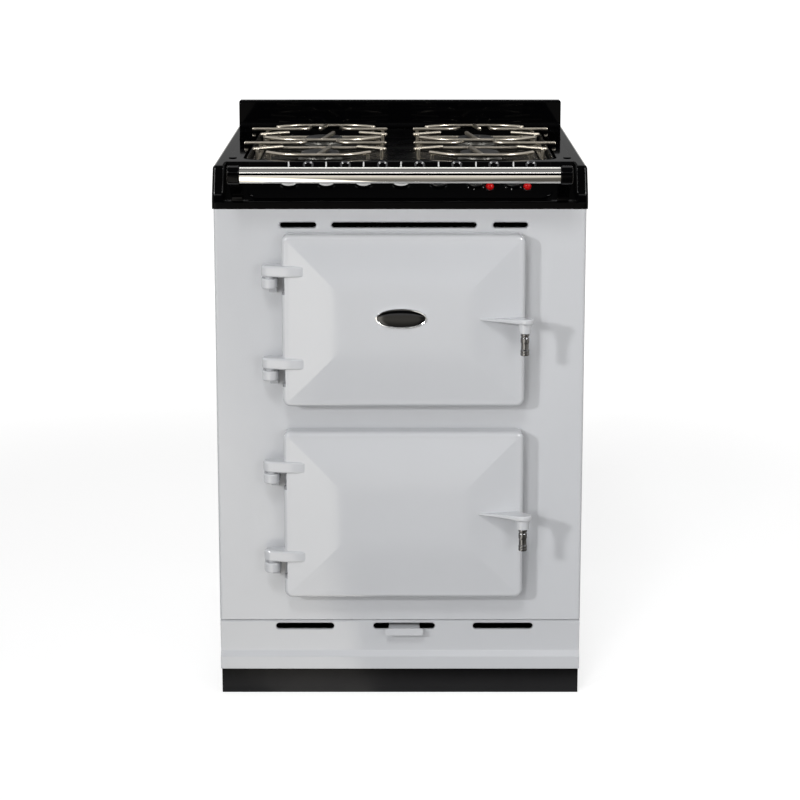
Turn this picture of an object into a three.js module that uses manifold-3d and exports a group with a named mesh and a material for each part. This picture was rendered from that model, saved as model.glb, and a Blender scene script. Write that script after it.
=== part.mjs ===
// A free-standing cast iron range cooker, 60 cm wide: two side-hung ovens under a four-burner gas hob.
// Lengths are millimetres. X runs to the right, Y from the front plate back to the wall, Z up from the floor.
import * as THREE from "three";
import { mergeVertices } from "three/addons/utils/BufferGeometryUtils.js";
import Module from "manifold-3d";

const wasm = await Module();
wasm.setup();

// ---------------------------------------------------------------- driving dimensions

// The body.
const BODY_WIDTH = 600;
const BODY_DEPTH = 605; // from the front plate's face to the wall
const SHEET = 2; // steel sheet of the side and back panels
const SHEET_RETURN = 16; // folded edge of a side panel
const PANEL_INSET = 1; // a side panel's face behind the edge of the front plate
const SEAT_GAP = 0.3; // clearance between pieces that seat on each other

// The plinth under the body.
const PLINTH_HEIGHT = 46;
const PLINTH_SETBACK = 13;
const PLINTH_WALL = 3;

// The lower front panel and its three slots.
const LOWER_PANEL_HEIGHT = 85;
const LOWER_PANEL_WALL = 3.5;
const LOWER_PANEL_DISH = 8; // how far the hollow face lies behind the lip
const LOWER_LIP_HEIGHT = 22;
const LOWER_SLOT_HEIGHT = 10.8;
const LOWER_SLOT_DROP = 12; // from the panel's top edge to its slots' centre
const LOWER_SLOTS = [
  [-0.689, -0.3667],
  [-0.1473, 0.1943],
  [0.4057, 0.739],
]; // left and right ends, as shares of the body's half width
const PANEL_GAP = 2; // shadow gap under the front plate

// The pull-out plate in the middle slot.
const PULL_WIDTH = 52;
const PULL_LIP_WIDTH = 63;
const PULL_LIP_HEIGHT = 12;
const PULL_LENGTH = 90;
const PULL_SHEET = 1.2;
const PULL_REACH = 8; // the lip's face in front of the front plate

// The front plate with two oven mouths and three vent slots.
const PLATE_THICK = 12;
const PLATE_EDGE_RADIUS = 5;
const LOWER_MARGIN = 49; // below the lower door
const DOOR_SPACING = 42; // between the doors
const UPPER_MARGIN = 37; // above the upper door
const VENT_HEIGHT = 9;
const VENT_DROP = 26.5; // from the plate's top edge to the vents' centre
const VENT_SLOTS = [
  [-0.6443, -0.45],
  [-0.3667, 0.411],
  [0.5, 0.686],
]; // left and right ends, as shares of the body's half width
const SLOT_RIM = 2.4; // rounded rim round each slot

// The doors: cast, with four shallow facets that rise to a flat middle.
const DOOR_MARGIN = 209; // width of the front plate that both sides of a door leave free
const DOOR_WIDTH = BODY_WIDTH - DOOR_MARGIN;
const DOOR_HEIGHT = 281;
const DOOR_SHIFT = 5.7; // the doors' centre, to the right of the body's
const DOOR_GAP = 5; // from the front plate to a closed door's rear rim
const DOOR_RIM_DEPTH = 32; // rear rim to the front of the edge band
const DOOR_RISE = 9.4; // edge band to the flat middle
const DOOR_CORNER = 13;
const DOOR_BAND = 9; // width of the edge band
const DOOR_FACET = 92; // from the door's edge to the flat middle
const MOUTH_OVERLAP = 20; // of the door over each edge of the oven mouth
const MOUTH_RADIUS = 14;
const LINER_POCKET = 12; // depth of the pocket in the door's back
const SEAL_WIDTH = 9;

// The hinges: a cast arm on the door that turns on a pin in a bracket.
const HINGE_OUT = 20; // pin's axis to the left of the door's edge
const HINGE_BACK = 19; // pin's axis in front of the door's rear rim
const HINGE_BOSS_RADIUS = 13;
const ARM_HEIGHT = 18.4;
const ARM_LENGTH = 58; // from the pin's axis to where the arm ends on the door's face
const ARM_LIFTS = [82, -69]; // arm centres from the door's centre
const COLLAR_HEIGHT = 2.9;
const BRACKET_HEIGHT = 16.2;
const BRACKET_WEB_DROP = 12;
const PIN_RADIUS = 4;
const PIN_LENGTH = 12;

// The door handle: a fin on the door with a turned grip under its end.
const HANDLE_LIFT = 1.5; // the fin's underside above the door's centre, at its root
const HANDLE_THICK = 7.5;
const HANDLE_OUT = 12; // the fin's end beyond the door's right edge
const HANDLE_LENGTH = 82;
const HANDLE_REACH = 92; // the fin's front edge in front of the front plate
const HANDLE_SLOPE = 0.1; // rise of the fin per millimetre forwards
const LUG_HEIGHT = 15;
const LUG_RADIUS = 9.5;
const GRIP_RADIUS = 7;
const GRIP_LENGTH = 36;

// The plain oval plate on the upper door.
const BADGE_WIDTH = 83;
const BADGE_HEIGHT = 33;
const BADGE_LIFT = 7.6;
const BADGE_SHIFT = -3.7; // from the door's centre
const BADGE_THICK = 3;

// The ovens.
const OVEN_ROOM = 175; // for the front plate, the insulation and the fan's motor
const OVEN_DEPTH = BODY_DEPTH - OVEN_ROOM;
const LINER_WALL = 2;
const LINER_FLANGE = 14;
const RUNNER_WIDTH = 9;
const RUNNER_THICK = 4;
const RUNNER_COUNT = 4;
const SHELF_LEVEL = 1; // which runner the shelf lies on, counted from the lowest
const SHELF_FRAME_RADIUS = 3.5;
const SHELF_WIRE_RADIUS = 2;
const SHELF_WIRES = 9;
const SHELF_SIDE_GAP = 3;
const SHELF_FRONT = 18; // the shelf's front bar behind the front plate
const SHELF_REAR_GAP = 6;

// The grill element of the upper oven.
const ELEMENT_RADIUS = 3.5;
const ELEMENT_DROP = 16; // below the oven's roof
const ELEMENT_PITCH = 56;
const ELEMENT_RUNS = 4;
const ELEMENT_INSET = 100; // how much shorter than the oven it is
const ELEMENT_LENGTH = OVEN_DEPTH - ELEMENT_INSET;

// The fan of the lower oven.
const FAN_RADIUS = 70;
const FAN_DEPTH = 20;
const FAN_BLADES = 8;
const FAN_SHAFT_RADIUS = 4;
const FAN_STANDOFF = 8; // from the oven's rear wall to the fan's plate
const FAN_SHEET = 1.6;
const FAN_HUB = 9; // length of the hub
const SHAFT_REACH = 12; // into the motor, and out of the rear wall
const FAN_COVER_SIZE = 190;
const FAN_COVER_DEPTH = 32;
const MOTOR_RADIUS = 36;
const MOTOR_LENGTH = 48;

// The hob casting.
const HOB_OVERHANG = 2.5; // beyond each side of the body
const HOB_HEIGHT = 67;
const HOB_WALL = 5;
const HOB_EDGE_RADIUS = 6;
const BAND_HEIGHT = 12; // the plain band below the control recess
const CHEEK_WIDTH = 19.5;
const CHEEK_FOOT = 15; // upright part of a cheek's front
const CHEEK_LEAN = 26; // how far a cheek leans back up to its top edge
const LEDGE_DEPTH = 16;
const SLOPE_RUN = 64; // of the control slope, front to back

// The burner well and its pan.
const WELL_SIDE = 46; // from the body's side
const WELL_WIDTH = BODY_WIDTH - 2 * WELL_SIDE;
const WELL_FRONT = 104;
const WELL_REAR = 45; // from the wall
const WELL_LENGTH = BODY_DEPTH - WELL_FRONT - WELL_REAR;
const WELL_RADIUS = 24;
const PAN_DEPTH = 18;
const PAN_SHEET = 1.6;
const PAN_LIP = 6;
const PAN_FIT = 0.8;
const BUTTON_RADIUS = 6.5;
const BUTTON_SIDE = 23.4; // from the body's side
const BUTTON_BACK = 23; // behind the well's front edge

// The burners.
const BURNER_OUT = 9; // how much further out than a quarter of the well a burner stands
const BURNER_X = WELL_WIDTH / 4 + BURNER_OUT;
const BURNER_FRONT = 139; // from the well's front edge
const BURNER_REAR = 100; // from the well's rear edge
const BURNER_FRONT_Y = WELL_FRONT + BURNER_FRONT;
const BURNER_PITCH = WELL_LENGTH - BURNER_FRONT - BURNER_REAR;
const BURNER_RADIUS = 38;
const BURNER_HEIGHT = 11;
const THROAT_RADIUS = 24;
const THROAT_DEPTH = 26;
const CAP_RADIUS = 33;
const CAP_HEIGHT = 6;
const PORTS = 8;
const IGNITER_RADIUS = 3;

// The pan supports: bars over the burners on a lower frame.
const BAR_RADIUS = 4;
const BAR_RISE = 5; // bar's centre above the rim
const FOOT_RADIUS = 3.2;
const SUPPORT_LIFT = 1; // lower frame's underside above the pan
const SUPPORT_FREE = 16; // how much narrower than the well's quarter a support's half is
const SUPPORT_HALF_WIDTH = WELL_WIDTH / 4 - SUPPORT_FREE;
const SUPPORT_REACH = 111; // scale of the bars' lengths front to back

// The control slope: fascia, knobs, lamps, taps and controls.
const FASCIA_SIDE = 54; // from the body's side
const FASCIA_WIDTH = BODY_WIDTH - 2 * FASCIA_SIDE;
const FASCIA_THICK = 3;
const FASCIA_CORNER = 17;
const FASCIA_MARGIN = 3;
const KNOB_COUNT = 7;
const GAS_KNOBS = 4;
const KNOB_END = 64.5; // from the fascia's end to the first and last knob
const KNOB_PITCH = (FASCIA_WIDTH - 2 * KNOB_END) / (KNOB_COUNT - 1);
const KNOB_SHIFT = 1.7;
const KNOB_UP = 42; // along the slope
const KNOB_RADIUS = 18;
const KNOB_SKIRT = 5;
const KNOB_HEIGHT = 25;
const KNOB_BLADE = 8;
const KNOB_GAP = 0.6;
const SPINDLE_RADIUS = 3;
const SPINDLE_REACH = 12;
const SPINDLE_HOLE_GAP = 1.2;
const DIMPLE_RADIUS = 8;
const DIMPLE_UP = 74;
const DIMPLE_RISE = 1;
const LAMP_RADIUS = 6.5;
const LAMP_UP = 25;
const LAMP_SHIFT = 22.7; // to the right of its knob
const TAP_RADIUS = 10;
const TAP_LENGTH = 24;
const TAP_FLANGE = 13;
const SWITCH_RADIUS = 16;
const SWITCH_LENGTH = 26;
const GAS_PIPE_RADIUS = 7;
const GAS_INLET_SIDE = 55; // from the body's left side
const GAS_BEND = 24;

// The splashback.
const SPLASH_INSET = 2.5; // from the body's side
const SPLASH_WIDTH = BODY_WIDTH - 2 * SPLASH_INSET;
const SPLASH_HEIGHT = 50;
const SPLASH_THICK = 17;
const SPLASH_COVE = 10;
const SPLASH_EDGE = 4;

// The handrail.
const RAIL_RADIUS = 13;
const RAIL_SIDE = 48; // from the body's side to the tube's end
const RAIL_LENGTH = BODY_WIDTH - 2 * RAIL_SIDE;
const RAIL_REACH = 70; // its axis in front of the front plate
const RAIL_DROP = 3; // its axis below the rim
const RAIL_BORE = 11;
const BRACKET_CAP_RADIUS = 14.5;
const BRACKET_WIDTH = 19;
const SPIGOT_LENGTH = 14; // of a bracket's spigot in the tube

// ---------------------------------------------------------------- sizes that follow

const HALF_WIDTH = BODY_WIDTH / 2;
const BUTTON_X = HALF_WIDTH - BUTTON_SIDE;
const BUTTON_Y = WELL_FRONT + BUTTON_BACK;
const GAS_INLET_X = GAS_INLET_SIDE - HALF_WIDTH;
const PLATE_HEIGHT = LOWER_MARGIN + 2 * DOOR_HEIGHT + DOOR_SPACING + UPPER_MARGIN;
const PLATE_BASE = PLINTH_HEIGHT + LOWER_PANEL_HEIGHT + PANEL_GAP;
const PLATE_TOP = PLATE_BASE + PLATE_HEIGHT;
const RIM_Z = PLATE_TOP + HOB_HEIGHT;
const LEDGE_Z = PLATE_TOP + BAND_HEIGHT;
const SLOPE_RISE = RIM_Z - LEDGE_Z;
const SLOPE_ANGLE = Math.atan2(SLOPE_RISE, SLOPE_RUN);
const SLOPE_LENGTH = Math.hypot(SLOPE_RUN, SLOPE_RISE);
const SLOPE_END = LEDGE_DEPTH + SLOPE_RUN;
const LOWER_DOOR_Z = PLATE_BASE + LOWER_MARGIN + DOOR_HEIGHT / 2;
const UPPER_DOOR_Z = LOWER_DOOR_Z + DOOR_HEIGHT + DOOR_SPACING;
const MOUTH_WIDTH = DOOR_WIDTH - 2 * MOUTH_OVERLAP;
const MOUTH_HEIGHT = DOOR_HEIGHT - 2 * MOUTH_OVERLAP;
const PIN_X = DOOR_SHIFT - DOOR_WIDTH / 2 - HINGE_OUT;
const PIN_Y = -DOOR_GAP - HINGE_BACK;
const DOOR_FRONT = -DOOR_GAP - DOOR_RIM_DEPTH - DOOR_RISE;
const OVEN_BACK = PLATE_THICK + OVEN_DEPTH;
const PAN_FLOOR = RIM_Z - PAN_DEPTH;
const WELL_BACK = WELL_FRONT + WELL_LENGTH;
const HOB_HALF = HALF_WIDTH + HOB_OVERHANG;
const CHEEK_INSIDE = HOB_HALF - CHEEK_WIDTH;
const FASCIA_FACE = SEAT_GAP + FASCIA_THICK;
const KNOB_BASE = FASCIA_FACE + KNOB_GAP;
const RAIL_Z = RIM_Z - RAIL_DROP;
const FRONT_REACH = Math.max(HANDLE_REACH, RAIL_REACH + BRACKET_CAP_RADIUS);
const MID_Y = (BODY_DEPTH - FRONT_REACH) / 2;

// ---------------------------------------------------------------- solids

/** Turns a closed geometry into a solid that can be cut and joined. */
function solid(geometry) {
  const bare = geometry.index ? geometry.toNonIndexed() : geometry.clone();
  bare.deleteAttribute("normal");
  bare.deleteAttribute("uv");
  const merged = mergeVertices(bare, 1e-4);
  const points = merged.attributes.position.array;
  const corner = merged.index.array;
  const faces = [];
  let volume = 0;
  for (let i = 0; i < corner.length; i += 3) {
    const [a, b, c] = [corner[i], corner[i + 1], corner[i + 2]];
    if (a === b || b === c || c === a) continue;
    faces.push([a, b, c]);
    const [p, q, r] = [a, b, c].map((k) => new THREE.Vector3().fromArray(points, 3 * k));
    volume += p.dot(q.cross(r));
  }
  const triVerts = new Uint32Array(faces.flatMap(([a, b, c]) => (volume < 0 ? [a, c, b] : [a, b, c])));
  return new wasm.Manifold(new wasm.Mesh({ numProp: 3, vertProperties: points, triVerts }));
}

/** Gives a solid's surface back as a geometry. */
function surface(body) {
  const mesh = body.getMesh();
  const geometry = new THREE.BufferGeometry();
  geometry.setAttribute("position", new THREE.BufferAttribute(mesh.vertProperties, 3));
  geometry.setIndex(new THREE.BufferAttribute(mesh.triVerts, 1));
  geometry.computeVertexNormals();
  return geometry;
}

/** Joins solids into one. */
function joined(...bodies) {
  return bodies.flat().reduce((all, body) => all.add(body));
}

/** Cuts every tool out of a solid. */
function cut(body, ...tools) {
  return tools.flat().reduce((left, tool) => left.subtract(tool), body);
}

/** Points of an arc in a plane; angles in degrees. */
function arc(x, y, radius, from, to, steps) {
  return Array.from({ length: steps + 1 }, (_, i) => {
    const angle = THREE.MathUtils.degToRad(from + ((to - from) * i) / steps);
    return [x + radius * Math.cos(angle), y + radius * Math.sin(angle)];
  });
}

/** Outline of a full circle. */
function circle(x, y, radius, steps) {
  return arc(x, y, radius, 0, 360 - 360 / steps, steps - 1);
}

/** Outline of a rectangle with round corners, anticlockwise. */
function roundedRect(x0, x1, y0, y1, radius, steps = 4) {
  const r = Math.min(radius, (x1 - x0) / 2 - 0.01, (y1 - y0) / 2 - 0.01);
  return [
    ...arc(x1 - r, y0 + r, r, -90, 0, steps),
    ...arc(x1 - r, y1 - r, r, 0, 90, steps),
    ...arc(x0 + r, y1 - r, r, 90, 180, steps),
    ...arc(x0 + r, y0 + r, r, 180, 270, steps),
  ];
}

/** Extrudes an outline by a length along its local Z. */
function extruded(outline, length, bevel = 0) {
  const shape = new THREE.Shape(outline.map(([x, y]) => new THREE.Vector2(x, y)));
  return new THREE.ExtrudeGeometry(shape, {
    depth: length - 2 * bevel,
    bevelEnabled: bevel > 0,
    bevelThickness: bevel,
    bevelSize: bevel,
    bevelOffset: -bevel,
    bevelSegments: 1,
    curveSegments: 1,
  }).translate(0, 0, bevel);
}

/** Prism along X of an outline given as [y, z] points. */
function prismX(outline, x0, x1, bevel = 0) {
  const turn = new THREE.Matrix4().makeBasis(
    new THREE.Vector3(0, 1, 0),
    new THREE.Vector3(0, 0, 1),
    new THREE.Vector3(1, 0, 0),
  );
  return solid(extruded(outline, x1 - x0, bevel).applyMatrix4(turn).translate(x0, 0, 0));
}

/** Prism along Y of an outline given as [x, z] points. */
function prismY(outline, y0, y1, bevel = 0) {
  return solid(extruded(outline, y1 - y0, bevel).rotateX(Math.PI / 2).translate(0, y1, 0));
}

/** Prism along Z of an outline given as [x, y] points. */
function prismZ(outline, z0, z1, bevel = 0) {
  return solid(extruded(outline, z1 - z0, bevel).translate(0, 0, z0));
}

/** Box between two corners. */
function block(x0, x1, y0, y1, z0, z1) {
  const box = new THREE.BoxGeometry(x1 - x0, y1 - y0, z1 - z0);
  return solid(box.translate((x0 + x1) / 2, (y0 + y1) / 2, (z0 + z1) / 2));
}

/** Solid turned about Z from [radius, z] points that start and end on the axis. */
function turned(profile, segments) {
  const points = profile.map(([radius, z]) => new THREE.Vector2(radius, z));
  return solid(new THREE.LatheGeometry(points, segments).rotateX(Math.PI / 2));
}

/** Plain cylinder along Z. */
function cylinder(radius, z0, z1, segments) {
  return turned([[0, z0], [radius, z0], [radius, z1], [0, z1]], segments);
}

/** Solid through a row of rings, each the same number of [x, y, z] points. */
function loft(rings) {
  const count = rings[0].length;
  const points = rings.flat();
  const faces = [];
  for (let ring = 0; ring + 1 < rings.length; ring++) {
    for (let i = 0; i < count; i++) {
      const a = ring * count + i;
      const b = ring * count + ((i + 1) % count);
      faces.push(a, b, b + count, a, b + count, a + count);
    }
  }
  const last = (rings.length - 1) * count;
  for (let i = 1; i + 1 < count; i++) {
    faces.push(0, i + 1, i, last, last + i, last + i + 1);
  }
  const geometry = new THREE.BufferGeometry();
  geometry.setAttribute("position", new THREE.Float32BufferAttribute(points.flat(), 3));
  geometry.setIndex(faces);
  return solid(geometry);
}

/** Loft along Y of round-cornered rectangles, from [y, x0, x1, z0, z1, radius] rows. */
function loftY(rows, steps = 4) {
  return loft(
    rows.map(([y, x0, x1, z0, z1, radius]) =>
      roundedRect(x0, x1, z0, z1, radius, steps).map(([x, z]) => [x, y, z]),
    ),
  );
}

/** Round bar that follows a curve. */
function barAlong(curve, radius, sides, steps) {
  const section = new THREE.Shape(circle(0, 0, radius, sides).map(([x, y]) => new THREE.Vector2(x, y)));
  return solid(
    new THREE.ExtrudeGeometry(section, { steps, extrudePath: curve, bevelEnabled: false, curveSegments: 1 }),
  );
}

/** Straight round bar between two points. */
function bar(from, to, radius, sides = 8) {
  return barAlong(new THREE.LineCurve3(new THREE.Vector3(...from), new THREE.Vector3(...to)), radius, sides, 1);
}

/** Round bar bent smoothly through points. */
function bentBar(points, radius, sides, steps) {
  const curve = new THREE.CatmullRomCurve3(points.map((p) => new THREE.Vector3(...p)), false, "centripetal");
  return barAlong(curve, radius, sides, steps);
}

/** Moves a solid. */
function moved(body, x, y, z) {
  return body.translate([x, y, z]);
}

// ---------------------------------------------------------------- finishes and nodes

const FINISHES = {
  enamel: { color: 0xc8cbcf, roughness: 0.18, metalness: 0 },
  blackEnamel: { color: 0x0b0b0d, roughness: 0.08, metalness: 0 },
  plinth: { color: 0x1a1a1b, roughness: 0.5, metalness: 0 },
  steel: { color: 0xb9b8b2, roughness: 0.28, metalness: 1 },
  barSteel: { color: 0xa9a497, roughness: 0.35, metalness: 1 },
  darkIron: { color: 0x161617, roughness: 0.45, metalness: 0.2 },
  chrome: { color: 0xd2d4d6, roughness: 0.08, metalness: 1 },
  knob: { color: 0x0d0d0e, roughness: 0.22, metalness: 0 },
  lamp: { color: 0xc81414, roughness: 0.15, metalness: 0 },
  galvanised: { color: 0x9a9d9f, roughness: 0.45, metalness: 1 },
  ovenEnamel: { color: 0x1c1d20, roughness: 0.35, metalness: 0 },
  rope: { color: 0x3a3836, roughness: 0.9, metalness: 0 },
  brass: { color: 0xa98a4a, roughness: 0.35, metalness: 1 },
  aluminium: { color: 0xb4b6b8, roughness: 0.4, metalness: 1 },
  plastic: { color: 0x202022, roughness: 0.5, metalness: 0 },
};

/** A named node: the solid with a material of its own. */
function node(name, body, finish) {
  const mesh = new THREE.Mesh(surface(body), new THREE.MeshStandardMaterial(FINISHES[finish]));
  mesh.name = name;
  return mesh;
}

// ---------------------------------------------------------------- the case

/** Where a slot begins and ends along X. */
function slotSpan(shares) {
  return shares.map((share) => share * HALF_WIDTH);
}

/** Cutter for a round-ended slot through a front, with a flared rim on its face. */
function slotCutter([x0, x1], z, height, faceY, backY) {
  const half = height / 2;
  const row = (y, out) => [y, x0 - out, x1 + out, z - half - out, z + half + out, half + out];
  return loftY([row(faceY - 1, SLOT_RIM), row(faceY, SLOT_RIM), row(faceY + SLOT_RIM, 0), row(backY, 0)], 3);
}

/** Front plate: rounded at its sides, with the oven mouths and the vent slots. */
function frontPlate() {
  const plan = [
    ...arc(-HALF_WIDTH + PLATE_EDGE_RADIUS, PLATE_EDGE_RADIUS, PLATE_EDGE_RADIUS, 180, 270, 4),
    ...arc(HALF_WIDTH - PLATE_EDGE_RADIUS, PLATE_EDGE_RADIUS, PLATE_EDGE_RADIUS, 270, 360, 4),
    [HALF_WIDTH, PLATE_THICK],
    [-HALF_WIDTH, PLATE_THICK],
  ];
  const mouths = [LOWER_DOOR_Z, UPPER_DOOR_Z].map((z) =>
    prismY(mouthOutline(z, 0), -1, PLATE_THICK + 1),
  );
  const vents = VENT_SLOTS.map((shares) =>
    slotCutter(slotSpan(shares), PLATE_TOP - VENT_DROP, VENT_HEIGHT, 0, PLATE_THICK + 1),
  );
  return cut(prismZ(plan, PLATE_BASE, PLATE_TOP), mouths, vents);
}

/** Outline of an oven mouth, made larger by an amount on every side. */
function mouthOutline(z, out, steps = 3) {
  const halfWidth = MOUTH_WIDTH / 2 + out;
  const halfHeight = MOUTH_HEIGHT / 2 + out;
  return roundedRect(
    DOOR_SHIFT - halfWidth,
    DOOR_SHIFT + halfWidth,
    z - halfHeight,
    z + halfHeight,
    MOUTH_RADIUS + out,
    steps,
  );
}

/** Side panel with folded edges at its front and back; side is -1 or 1. */
function sidePanel(side) {
  const out = HALF_WIDTH - PANEL_INSET;
  const front = PLATE_THICK;
  const back = BODY_DEPTH - SHEET;
  const plan = [
    [out, front],
    [out, back],
    [out - SHEET_RETURN, back],
    [out - SHEET_RETURN, back - SHEET],
    [out - SHEET, back - SHEET],
    [out - SHEET, front + SHEET],
    [out - SHEET_RETURN, front + SHEET],
    [out - SHEET_RETURN, front],
  ].map(([x, y]) => [side * x, y]);
  return prismZ(plan, PLINTH_HEIGHT, PLATE_TOP);
}

/** Back panel with cooling slots. */
function backPanel() {
  const half = HALF_WIDTH - PANEL_INSET;
  const sheet = block(-half, half, BODY_DEPTH - SHEET, BODY_DEPTH, PLINTH_HEIGHT, PLATE_TOP);
  const slots = [];
  for (const z of [LOWER_DOOR_Z, UPPER_DOOR_Z]) {
    for (let i = -2; i <= 2; i++) {
      const x = i * (BODY_WIDTH / 8);
      const outline = roundedRect(x - BODY_WIDTH / 24, x + BODY_WIDTH / 24, z - 4, z + 4, 2, 1);
      slots.push(prismY(outline, BODY_DEPTH - SHEET - 1, BODY_DEPTH + 1));
    }
  }
  return cut(sheet, slots);
}

/** Plinth: a box of four walls under the base plate that carries the panels. */
function plinth() {
  const half = HALF_WIDTH - PANEL_INSET;
  const outer = block(-half, half, PLINTH_SETBACK, BODY_DEPTH, 0, PLINTH_HEIGHT);
  const hollow = block(
    -half + PLINTH_WALL,
    half - PLINTH_WALL,
    PLINTH_SETBACK + PLINTH_WALL,
    BODY_DEPTH - PLINTH_WALL,
    -1,
    PLINTH_HEIGHT - PLINTH_WALL,
  );
  return cut(outer, hollow);
}

/** Lower front panel: a lip, then a hollow face that rises to the slots. */
function lowerPanel() {
  const base = PLINTH_HEIGHT;
  const top = base + LOWER_PANEL_HEIGHT;
  const lip = base + LOWER_LIP_HEIGHT;
  const rise = top - lip - LOWER_PANEL_DISH;
  const face = Array.from({ length: 9 }, (_, i) => {
    const t = i / 8;
    return [LOWER_PANEL_DISH * (1 - 0.65 * Math.pow(t, 1.4)), lip + LOWER_PANEL_DISH + rise * t];
  });
  const back = LOWER_PANEL_DISH + LOWER_PANEL_WALL;
  const outline = [[0, base], [back, base], [back, top], ...face.reverse(), [0, lip]];
  const footHalf = HALF_WIDTH - PANEL_INSET - SHEET_RETURN - 1;
  const footBack = PLINTH_SETBACK + 2 * LOWER_PANEL_WALL;
  const foot = block(-footHalf, footHalf, back - 1, footBack, base, base + LOWER_PANEL_WALL);
  const slots = LOWER_SLOTS.map((shares) =>
    slotCutter(slotSpan(shares), top - LOWER_SLOT_DROP, LOWER_SLOT_HEIGHT, LOWER_PANEL_DISH * 0.4, back + 1),
  );
  return cut(joined(prismX(outline, -HALF_WIDTH, HALF_WIDTH), foot), slots);
}

/** Pull-out plate: a channel that runs in the middle slot, with a folded lip. */
function pullOutPlate() {
  const [x0, x1] = slotSpan(LOWER_SLOTS[1]);
  const middle = (x0 + x1) / 2;
  const slotZ = PLINTH_HEIGHT + LOWER_PANEL_HEIGHT - LOWER_SLOT_DROP;
  const bottom = slotZ - LOWER_SLOT_HEIGHT / 2 + SEAT_GAP;
  const top = slotZ;
  const half = PULL_WIDTH / 2;
  const run = PULL_LENGTH - PULL_REACH;
  const sheet = block(middle - half, middle + half, -PULL_REACH, run, top - PULL_SHEET, top);
  const sides = [-1, 1].map((side) => {
    const edge = middle + side * half;
    const inner = edge - side * PULL_SHEET;
    return block(Math.min(edge, inner), Math.max(edge, inner), 0, run, bottom, top);
  });
  const lipHalf = PULL_LIP_WIDTH / 2;
  const lipOutline = roundedRect(middle - lipHalf, middle + lipHalf, top - PULL_LIP_HEIGHT, top, 2, 2);
  const lip = prismY(lipOutline, -PULL_REACH, -PULL_REACH + PULL_SHEET);
  return joined(sheet, sides, lip);
}

// ---------------------------------------------------------------- doors

/** Rows of the door's casting, from its rear rim to the flat middle of its face. */
function doorRows() {
  const rim = -DOOR_GAP - DOOR_RIM_DEPTH;
  const rise = (share) => rim - DOOR_RISE * share;
  const facet = DOOR_FACET - DOOR_BAND;
  const layers = [
    [0, -DOOR_GAP],
    [0, rim + 9],
    [0.9, rim + 4.6],
    [3.2, rim + 1.6],
    [6, rim + 0.3],
    [DOOR_BAND, rim],
    [DOOR_BAND + 0.06 * facet, rise(0.05)],
    [DOOR_BAND + 0.45 * facet, rise(0.5)],
    [DOOR_BAND + 0.82 * facet, rise(0.88)],
    [DOOR_BAND + facet, rise(0.985)],
    [DOOR_BAND + 1.15 * facet, rise(1)],
  ];
  return layers.map(([inset, y]) => [
    y,
    -DOOR_WIDTH / 2 + inset,
    DOOR_WIDTH / 2 - inset,
    -DOOR_HEIGHT / 2 + inset,
    DOOR_HEIGHT / 2 - inset,
    Math.max(DOOR_CORNER - inset, 2),
  ]);
}

/** Hinge arm in plan, from its boss round the pin to its end on the door's face. */
function hingeArm() {
  const axisX = -DOOR_WIDTH / 2 - HINGE_OUT;
  const front = DOOR_FRONT + 4.5;
  const outline = [
    ...arc(axisX, PIN_Y, HINGE_BOSS_RADIUS, 90, 262, 7),
    [-DOOR_WIDTH / 2 - 2, front + 0.6],
    [-DOOR_WIDTH / 2 + 14, front],
    [axisX + ARM_LENGTH, front + 0.2],
    [axisX + ARM_LENGTH, PIN_Y],
    [-DOOR_WIDTH / 2 + 6, PIN_Y + HINGE_BOSS_RADIUS],
  ];
  return prismZ(outline, -ARM_HEIGHT / 2, ARM_HEIGHT / 2, 3);
}

/** Handle fin in plan, sheared so that it rises towards its end, with the lug that holds the grip. */
function handleFin() {
  const edge = DOOR_WIDTH / 2;
  const end = edge + HANDLE_OUT;
  const root = end - HANDLE_LENGTH;
  const tipRadius = LUG_RADIUS + 5;
  const outline = [
    [root, DOOR_FRONT + 1.5],
    [root + 0.45 * HANDLE_LENGTH, -HANDLE_REACH + 24],
    [end - tipRadius - 8, -HANDLE_REACH + 2.2],
    ...arc(end - tipRadius, -HANDLE_REACH + tipRadius, tipRadius, -90, 20, 6),
    [edge + 4, -HANDLE_REACH + 2 * tipRadius + 6],
    [edge - 10, DOOR_FRONT + 12],
    [root + 6, DOOR_FRONT + 6],
  ];
  const shear = [1, 0, 0, 0, 0, 1, -HANDLE_SLOPE, 0, 0, 0, 1, 0, 0, 0, HANDLE_SLOPE * DOOR_FRONT, 1];
  const fin = prismZ(outline, HANDLE_LIFT, HANDLE_LIFT + HANDLE_THICK, 2).transform(shear);
  const lug = turned(
    [[0, 0], [LUG_RADIUS - 1, 0], [LUG_RADIUS, 1], [LUG_RADIUS + 1.5, LUG_HEIGHT + 2], [0, LUG_HEIGHT + 2]],
    20,
  );
  return joined(fin, moved(lug, gripX(), gripY(), gripTop()));
}

/** Where the grip's axis stands, from the door's centre. */
function gripX() {
  return DOOR_WIDTH / 2 + HANDLE_OUT - LUG_RADIUS - 5;
}

function gripY() {
  return -HANDLE_REACH + LUG_RADIUS + 5;
}

/** The lug's underside, where the grip begins, from the door's centre. */
function gripTop() {
  return HANDLE_LIFT + HANDLE_SLOPE * (DOOR_FRONT - gripY()) - LUG_HEIGHT;
}

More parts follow.
